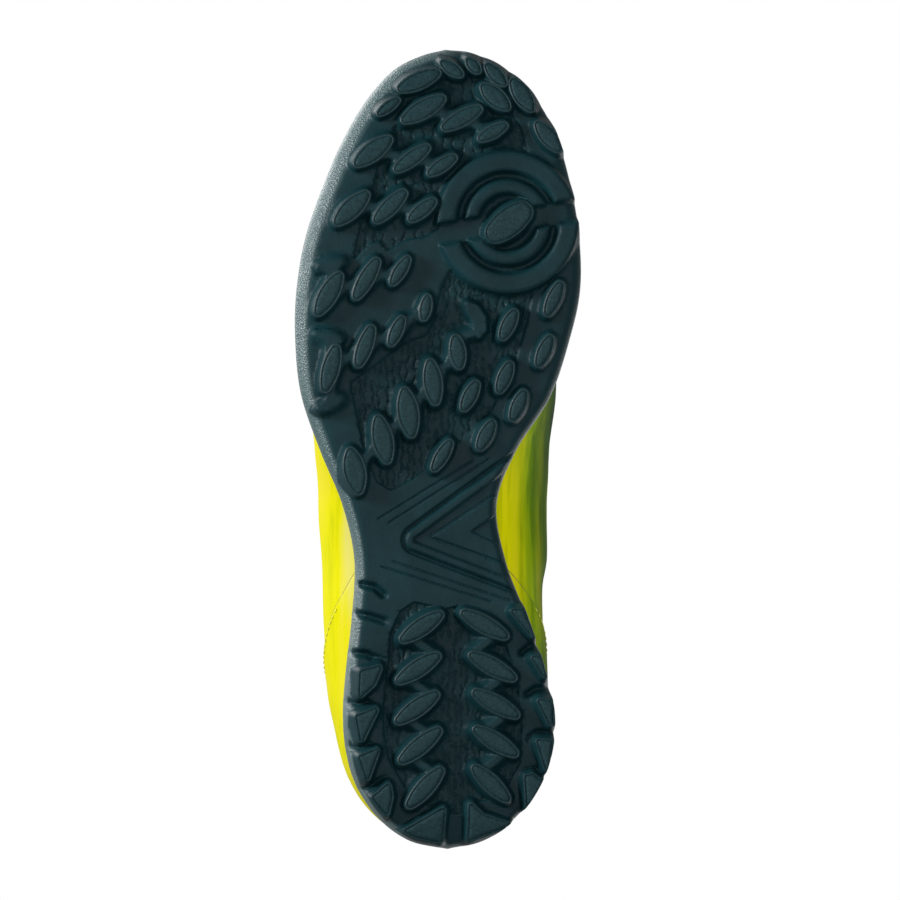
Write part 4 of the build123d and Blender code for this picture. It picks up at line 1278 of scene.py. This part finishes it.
def collar():
    """Padded collar: a roll that follows the topline and lies on the inside of the quarters."""
    around = np.linspace(0, 2 * pi, COLLAR_AROUND, endpoint=False)
    heights = np.linspace(-COLLAR_OVER - 0.5, COLLAR_DEEP + 0.5, 12)
    rings = []
    for side in SIDES:
        start = float(u_of_line(side, np.array([0.75]), plumb(COLLAR_FRONT_Y))[0])
        u = np.linspace(start, U_END, COLLAR_ALONG)
        for at in u if side == LATERAL else u[-2::-1]:
            full = min(1.0, ((at - start) / COLLAR_TAPER + 0.02)) ** 0.5
            c, s = (squared(wave(around), COLLAR_ROUND) * full for wave in (np.cos, np.sin))
            down = (COLLAR_DEEP - COLLAR_OVER) / 2 - (COLLAR_DEEP + COLLAR_OVER) / 2 * c
            deep = (COLLAR_OUT + COLLAR_IN) / 2 + (COLLAR_IN - COLLAR_OUT) / 2 * s
            v = np.interp(down, heights, [float(v_side_line(side, at, TOPLINE, -float(h))) for h in heights])
            rings.append(upper_point(side, at, v) - outward(side, np.full_like(v, at), v) * deep[:, None])
    verts, faces = capped(rings)
    piece = new_piece("collar_padding", verts, faces, "lining_mesh", lining_mesh,
                      ["collar_padding", "collar_lining"])
    weld(piece)
    held = np.append(np.tile(np.sin(around) < COLLAR_HELD, len(rings)), [True, True])
    puff(piece, COLLAR_PUFF, held if len(piece.data.vertices) == len(verts) else None)
    subdivided(piece)


# ------------------------------------------------------------ tongue
TONGUE_ROOT_Y, TONGUE_HALF, TONGUE_SIDE_Y, TONGUE_TOP_Y = -74.0, (15.0, 25.0), 8.0, 26.0
TONGUE_GRID = (60, 18)
# outer face of the shell and the faces of the pad, below the outside of the upper, and how much each
# rises or falls away from the tongue's edges
SHELL_DOWN, SHELL_FULL = 9.8, 1.9
PAD_DOWN, PAD_UP_FULL, PAD_DOWN_FULL = 11.0, 1.1, 1.8
TONGUE_END_ROUND, TONGUE_EDGE_ROUND = 0.07, 0.14


@quick_edge(V_TABLE)
def tongue_back(side, v):
    """Rounded top end of the tongue."""
    def past(u):
        p = upper_point(side, u, v)
        off = (p[..., 0] - AXIS_X) / TONGUE_HALF[1]
        return p[..., 1] > TONGUE_TOP_Y - (TONGUE_TOP_Y - TONGUE_SIDE_Y) * off**2
    return solve(past, np.zeros_like(v), np.full_like(v, U_END))


@quick_edge(U_TABLE)
def tongue_edge(side, u):
    """Side edge of the tongue, wider towards its top."""
    def within(v):
        p = upper_point(side, u, v)
        share = np.clip((p[..., 1] - TONGUE_ROOT_Y) / (TONGUE_SIDE_Y - TONGUE_ROOT_Y), 0, 1)
        return np.abs(p[..., 0] - AXIS_X) < TONGUE_HALF[0] + (TONGUE_HALF[1] - TONGUE_HALF[0]) * share
    return solve(within, np.full_like(u, RIDGE_START), np.ones_like(u))


def tongue_front(side, v):
    return u_of_line(side, v, plumb(TONGUE_ROOT_Y))


def ridge(side, u):
    return np.ones_like(u)


def tongue():
    """Padded tongue with a coated shell on its outside."""
    s, t = np.meshgrid(*(np.linspace(0, 1, n) for n in TONGUE_GRID), indexing="ij")
    near = np.minimum(np.minimum(s, 1 - s) / TONGUE_END_ROUND, t / TONGUE_EDGE_ROUND)
    full = np.sqrt(1 - (1 - np.clip(near, 0, 1)) ** 2)
    edges = (tongue_front, tongue_back, tongue_edge, ridge)
    outer = panels(edges, *TONGUE_GRID, -PAD_DOWN + PAD_UP_FULL * full)
    inner = [flip(part) for part in panels(edges, *TONGUE_GRID, -PAD_DOWN - PAD_DOWN_FULL * full)]
    pad = new_piece("tongue_padding", *gathered(outer + inner), "tongue_fabric", tongue_cloth,
                    ["tongue_padding", "tongue_lining"], "tongue")
    weld(pad)
    puff(pad, TONGUE_PUFF)
    subdivided(pad)
    shell = panels(edges, *TONGUE_GRID, -SHELL_DOWN + SHELL_FULL * full)
    stitched("tongue_shell", shell, TONGUE_SHELL, upper_coat, "upper_synthetic", "tongue")


# ------------------------------------------------------------ footbed
INNER_INSET, SOCK_UNDER, SOCK_TOP, SOCK_COVER = 8.4, 1.9, 5.6, 6.3
DISH, FLAT_DISH = 2.6, 0.2         # rise of the rim
HEEL_CUP = (0.6, 0.8, 20, 60)      # share of the rise at the toe, added at the heel, start and length
FOOTBED_ALONG, FOOTBED_ACROSS = 90, 18


def footbed_layer(side, height, dish):
    """Grid across half the shoe at a height over the midsole; dish raises the rim."""
    u, share = np.meshgrid(np.linspace(0, U_END, FOOTBED_ALONG), np.linspace(1, 0, FOOTBED_ACROSS),
                           indexing="ij")
    foot_y, rim_x, rim_y = station(side, u)
    out = share * (1 - INNER_INSET / np.hypot(rim_x - AXIS_X, rim_y - foot_y))
    x, y = AXIS_X + (rim_x - AXIS_X) * out, foot_y + (rim_y - foot_y) * out
    least, added, start, length = HEEL_CUP
    rim = dish * share**5 * (least + added * ease((y - start) / length))
    z = rocker(y) + along(y, MIDSOLE_TOP) + height + rim
    return np.stack([x, y, z], -1).reshape(-1, 3), grid_quads(FOOTBED_ALONG, FOOTBED_ACROSS, side)


def footbed():
    """Foam insole with a cloth cover."""
    top = [footbed_layer(side, SOCK_TOP, DISH) for side in SIDES]
    bottom = [flip(footbed_layer(side, SOCK_UNDER, FLAT_DISH)) for side in SIDES]
    rim = [(np.concatenate([p[::FOOTBED_ACROSS], q[::FOOTBED_ACROSS]]), rim_quads(side))
           for (p, _), (q, _), side in zip(top, bottom, SIDES)]
    sock = new_piece("sockliner_foam", *gathered(top + bottom + rim), "sockliner_foam", foam,
                     ["sockliner_foam"])
    weld(sock)
    cover = [footbed_layer(side, SOCK_COVER, DISH) for side in SIDES]
    stitched("sockliner_cover", cover, LINING, sock_cloth, "sockliner_cover")


def rim_quads(side):
    """Quads between the rims of the insole's two faces."""
    n = FOOTBED_ALONG
    quads = np.array([(k, k + 1, k + n + 1, k + n) for k in range(n - 1)])
    return quads if side == MEDIAL else quads[:, ::-1]


# ------------------------------------------------------------ lace, eyelets and stitching
HOLE_COUNT, HOLE_FIRST_Y, HOLE_PITCH, HOLE_EDGE, TAIL = 6, -58.0, 12.5, 7.0, 7.0
LACE_UNDER, LACE_OVER, LACE_CROSS = 5.2, 2.1, 1.0      # below and above the upper, and at a crossing
LACE_HALF = (2.3, 0.75)        # half width and half thickness of the flat lace
LACE_SQUARE, LACE_ROUND, LACE_STEPS = 0.7, 14, 6
TURN_LEAST = 1.5               # a step in plan shorter than this is part of a turn through a hole


def over(x, y):
    """Point and normal of the outside of the upper above (x, y)."""
    x, y = np.atleast_1d(np.asarray(x, float)), np.atleast_1d(np.asarray(y, float))
    points, normals = np.empty((len(x), 3)), np.empty((len(x), 3))
    for side, mine in ((LATERAL, x < AXIS_X), (MEDIAL, x >= AXIS_X)):
        if not mine.any():
            continue
        off, to_y = np.abs(x[mine] - AXIS_X), y[mine]

        def v_at(u):
            return solve(lambda v: np.abs(upper_point(side, u, v)[..., 0] - AXIS_X) < off,
                         np.full_like(u, 0.35), np.ones_like(u))
        u = solve(lambda u: upper_point(side, u, v_at(u))[..., 1] > to_y,
                  np.zeros_like(off), np.full_like(off, U_END))
        points[mine] = upper_point(side, u, v_at(u))
        normals[mine] = outward(side, u, np.minimum(v_at(u), 0.98))
    return points, normals


def lace_hole(turn, n):
    """Plan position of the nth hole; turn is 1 on the medial side and -1 on the lateral side."""
    y = HOLE_FIRST_Y + n * HOLE_PITCH
    return AXIS_X + turn * (float(throat_half(y)) + HOLE_EDGE), y


def strand(turn):
    """(x, y, height, number of the pass) of half the lace, from under the first hole to its tucked end."""
    made = [(*lace_hole(turn, 0), -LACE_UNDER, -1), (*lace_hole(turn, 0), LACE_OVER, 0)]
    for n in range(HOLE_COUNT - 1):
        now = turn if n % 2 == 0 else -turn
        (x0, y0), (x1, y1) = lace_hole(now, n), lace_hole(-now, n + 1)
        far = LACE_OVER if n + 2 == HOLE_COUNT else -LACE_UNDER
        edges = [AXIS_X + now * float(throat_half(y0)), AXIS_X - now * float(throat_half(y1))]
        shares = [(edge - x0) / (x1 - x0) for edge in edges]
        middle = (LACE_OVER + far) / 2 + now * LACE_CROSS
        for share, height in ((shares[0], LACE_OVER), (0.5, middle), (shares[1], far), (1.0, far)):
            made.append((x0 + share * (x1 - x0), y0 + share * (y1 - y0), height, n))
        made.append((x1, y1, -far if n + 2 == HOLE_COUNT else LACE_OVER, n + 0.5))
    x, y = made[-1][:2]
    return made + [(x, y - TAIL, -LACE_UNDER, HOLE_COUNT)]


def eased(points):
    """Round curve that follows a route: a parabola at each point, from middle to middle."""
    t = np.linspace(0, 1, LACE_STEPS + 1)[:-1, None]
    start, end = (points[:-2] + points[1:-1]) / 2, (points[1:-1] + points[2:]) / 2
    return np.vstack([(1 - t)**2 * a + 2 * t * (1 - t) * mid + t**2 * b
                      for a, mid, b in zip(start, points[1:-1], end)])


def lace():
    """Flat lace: a bar under the first holes, then criss-cross to tucked ends."""
    one, two = strand(1), strand(-1)
    route = one[::-1] + [(AXIS_X, HOLE_FIRST_Y, -LACE_UNDER, -1)] + two
    points, normals = over([p[0] for p in route], [p[1] for p in route])
    heights = np.array([p[2] for p in route])
    line = points + normals * heights[:, None]
    plan = np.gradient(line[:, :2], axis=0)
    moves = np.hypot(*plan.T)
    across = np.stack([-plan[:, 1], plan[:, 0], 0 * plan[:, 0]], 1) / np.maximum(moves, 1e-6)[:, None]
    for k in range(1, len(across)):          # keep one edge of the lace on the same side all along
        if moves[k] < TURN_LEAST:
            across[k] = across[k - 1]
        if across[k] @ across[k - 1] < 0:
            across[k] *= -1
    centre, wide = eased(line), eased(across)
    along_it = np.gradient(centre, axis=0)
    along_it /= np.linalg.norm(along_it, axis=1, keepdims=True)
    wide -= along_it * (wide * along_it).sum(1, keepdims=True)
    wide /= np.maximum(np.linalg.norm(wide, axis=1, keepdims=True), 1e-6)
    thick = np.cross(along_it, wide)
    a = np.linspace(0, 2 * pi, LACE_ROUND, endpoint=False)
    c, s = (squared(wave(a), LACE_SQUARE) * half for wave, half in zip((np.cos, np.sin), LACE_HALF))
    rings = [p + np.outer(c, w) + np.outer(s, h) for p, w, h in zip(centre, wide, thick)]
    weld(new_piece("lace", *capped(rings), "lace_cord", lace_weave, ["lace"]))


EYELET = [(1.8, 0.7), (2.1, 1.35), (3.0, 1.3), (3.3, 0.7)]     # radius and height of its section's corners
EYELET_ROUND = 24


def ring_at(point, normal):
    """Eyelet ring turned round a normal."""
    side = np.cross(normal, [0, 1.0, 0])
    side /= np.linalg.norm(side)
    other = np.cross(side, normal)
    a = np.linspace(0, 2 * pi, EYELET_ROUND, endpoint=False)
    rings = [point + np.outer(np.cos(a) * r, side) + np.outer(np.sin(a) * r, other) + normal * h
             for r, h in EYELET]
    count = EYELET_ROUND * len(EYELET)
    return np.vstack(rings), [tuple(i % count for i in quad) for quad in strips([*rings, rings[0]])]


def eyelets():
    """A raised ring round each lace hole."""
    points, normals = over(*zip(*(lace_hole(turn, n) for turn in (-1, 1) for n in range(HOLE_COUNT))))
    parts = [ring_at(p, n) for p, n in zip(points, normals)]
    weld(new_piece("eyelets", *gathered(parts), "overlay_synthetic", eyelet_gloss))


STITCH = (1.15, 0.33, 0.28)     # half length, half width, half height
STITCH_ROUND, STITCH_APART = 6, 3.2


def stitches_on(points, normals):
    """Little raised threads end to end along a line."""
    run = np.concatenate([[0], np.cumsum(np.linalg.norm(np.diff(points, axis=0), axis=1))])
    at = np.arange(STITCH_APART / 2, run[-1], STITCH_APART)
    p, n = (np.stack([np.interp(at, run, a[:, k]) for k in range(3)], 1) for a in (points, normals))
    ahead = np.gradient(p, axis=0)
    ahead /= np.linalg.norm(ahead, axis=1, keepdims=True)
    around = np.linspace(0, 2 * pi, STITCH_ROUND, endpoint=False)
    cross_section = np.column_stack([np.zeros(STITCH_ROUND), np.cos(around), np.sin(around)])
    rings = [cos(e) * cross_section + [sin(e), 0, 0] for e in (-0.85, 0, 0.85)]
    shape, faces = capped(rings)
    shape[-2:] = (-1, 0, 0), (1, 0, 0)
    for spot, x, y, z in zip(p, ahead, np.cross(n, ahead), n):
        yield spot + shape * STITCH @ np.stack([x, y, z]), faces


def seam_row(side, u, v, lift):
    """Points and normals of a row of stitches, raised by lift."""
    normals = outward(side, u, v)
    return upper_point(side, u, v) + normals * np.reshape(lift, (-1, 1)), normals


SEAM_ROWS = [(VAMP_SEAM, 1.8, 0.1), (VAMP_SEAM, 3.6, 0.1), (HEEL_PANEL_FRONT, 2.0, 1.0)]   # line, shift, lift
TOP_ROW_FRONT, TOP_ROW_V, TOP_ROW_DOWN_Y = -56, 0.8, 30        # ahead of the last y it lies on the eyestay
EYESTAY_ROW_END = 26


def stitching():
    """Two rows on the vamp's seam, one on the heel panel, one on the eyestay and one along the top edge."""
    rows = []
    for side in SIDES:
        v = np.linspace(0.12, 1, 160)
        for line, shift, lift in SEAM_ROWS:
            u = u_of_line(side, v, line, shift)
            top = v_top(side, u, 2.0, -3.0) if line is VAMP_SEAM else v_side_line(side, u, TOPLINE, -8)
            rows.append(seam_row(side, u[v < top], v[v < top], lift))
        front = float(u_of_line(side, np.array([TOP_ROW_V]), plumb(TOP_ROW_FRONT))[0])
        u = np.linspace(front, U_END, 260)
        y = upper_point(side, u, TOP_ROW_V)[:, 1]
        rows.append(seam_row(side, u, v_top(side, u, 2.2, -2.6), 0.1 + 0.8 * (y < TOP_ROW_DOWN_Y)))
        v = v_throat(side, u, EYESTAY_W - 2)
        beside_throat = (v < v_top(side, u) - 0.01) & (y < EYESTAY_ROW_END)
        rows.append(seam_row(side, u[beside_throat], v[beside_throat], 1.0))
    parts = [part for points, normals in rows for part in stitches_on(points, normals)]
    new_piece("stitching", *gathered(parts), "upper_synthetic", thread)


# radius and lift of the strip of painted shadow along the heel panel's front edge
EDGE_SHADOW_RADIUS, EDGE_SHADOW_UP = 0.45, 0.35


def heel_edge_shadow():
    """Thin dark strip along the front edge of the heel panel: painted shadow of the panel's edge."""
    parts = []
    for side in SIDES:
        v = np.linspace(0.02, 0.97, 120)
        u = heel_front(side, v)
        keep = v < under_topline(side, u)
        points, normals = seam_row(side, u[keep], v[keep], EDGE_SHADOW_UP)
        ahead = np.gradient(points, axis=0)
        across = np.cross(normals, ahead / np.linalg.norm(ahead, axis=1, keepdims=True))
        a = np.linspace(0, 2 * pi, 8, endpoint=False)
        rings = [p + EDGE_SHADOW_RADIUS * (np.outer(np.cos(a), n) + np.outer(np.sin(a), c))
                 for p, n, c in zip(points, normals, across)]
        parts.append((np.vstack(rings), strips(rings)))
    new_piece("heel_edge_shadow_strip", *gathered(parts), "upper_synthetic", edge_shadow_paint)


outsole()
upper()
collar()
tongue()
footbed()
lace()
eyelets()
stitching()
heel_edge_shadow()


# ------------------------------------------------------------ camera, light and floor (sizes in metres)
ROLL = radians(6)      # the shoe lies a little turned in the frame
CAMERA_AWAY, FRAME_WIDTH, SENSOR = 3000.0, 326.2, 36.0         # mm
AIM = (AXIS_X, 0.4, 8.0)                                       # mm
FLOOR_HALF, FLOOR_Z, FLOOR_GLOW = 6, -0.0006, 0.45
WORLD_DIM, WORLD_BRIGHT = 0.45, 1.0
LIGHTS = [             # name, place, size, watts
    ("key_left", (-1.0, -0.35, -0.35), 0.35, 20.0),
    ("fill_below", (0.1, -0.1, -1.3), 1.2, 7.5),
    ("key_above", (-0.7, -0.6, 1.1), 0.8, 14.0),
    ("fill_above", (0.9, 0.6, 0.8), 1.0, 7.0),
]
WHITE = (1, 1, 1, 1)


def camera():
    """Long lens from straight below, with the toe at the top of the frame."""
    data = bpy.data.cameras.new("photo_view")
    data.lens, data.sensor_width = SENSOR * CAMERA_AWAY / FRAME_WIDTH, SENSOR
    made = bpy.data.objects.new("photo_view", data)
    bpy.context.scene.collection.objects.link(made)
    back = Vector((-sin(ROLL), 0, -cos(ROLL)))
    matrix = np.eye(4)
    matrix[:3, :3] = np.column_stack([(cos(ROLL), 0, -sin(ROLL)), (0, -1, 0), back])
    matrix[:3, 3] = (Vector(AIM) + back * CAMERA_AWAY) * MM
    made.matrix_world = Matrix(matrix.tolist())
    bpy.context.scene.camera = made


def floor():
    """Pale floor under the studs that shows nothing from below."""
    mesh = bpy.data.meshes.new("floor")
    corners = [(x * FLOOR_HALF, y * FLOOR_HALF, FLOOR_Z) for x, y in ((-1, -1), (1, -1), (1, 1), (-1, 1))]
    mesh.from_pydata(corners, [], [(0, 1, 2, 3)])
    made = bpy.data.objects.new("floor", mesh)
    bpy.context.scene.collection.objects.link(made)
    material, tree, bsdf = shader("floor")
    for name, value in (("Base Color", (0.9, 0.9, 0.9, 1)), ("Roughness", 0.9), ("Emission Color", WHITE),
                        ("Emission Strength", FLOOR_GLOW)):
        bsdf.inputs[name].default_value = value
    clear = node(tree, "ShaderNodeBsdfTransparent")
    from_below = node(tree, "ShaderNodeNewGeometry").outputs["Backfacing"]
    mix = node(tree, "ShaderNodeMixShader", {0: from_below, 1: bsdf.outputs[0], 2: clear.outputs[0]})
    join(tree, mix.outputs[0], tree.nodes["Material Output"].inputs[0])
    mesh.materials.append(material)
    made.visible_diffuse = made.visible_glossy = made.visible_shadow = made.visible_transmission = False


def sky():
    """Soft even light, brighter where the camera sees it."""
    world = bpy.data.worlds.new("studio")
    bpy.context.scene.world = world
    world.use_nodes = True
    tree = world.node_tree
    seen = node(tree, "ShaderNodeLightPath").outputs["Is Camera Ray"]
    dim, bright = tree.nodes["Background"], node(tree, "ShaderNodeBackground")
    for background, strength in ((dim, WORLD_DIM), (bright, WORLD_BRIGHT)):
        background.inputs[0].default_value, background.inputs[1].default_value = WHITE, strength
    mix = node(tree, "ShaderNodeMixShader", {0: seen, 1: dim.outputs[0], 2: bright.outputs[0]})
    join(tree, mix.outputs[0], tree.nodes["World Output"].inputs[0])


def lights():
    for name, spot, size, power in LIGHTS:
        data = bpy.data.lights.new(name, "AREA")
        data.energy, data.size = power, size
        light = bpy.data.objects.new(name, data)
        light.location = spot
        light.rotation_euler = (-Vector(spot)).to_track_quat("-Z", "Y").to_euler()
        bpy.context.scene.collection.objects.link(light)


camera()
floor()
sky()
lights()
bpy.context.scene.view_settings.view_transform = "Standard"
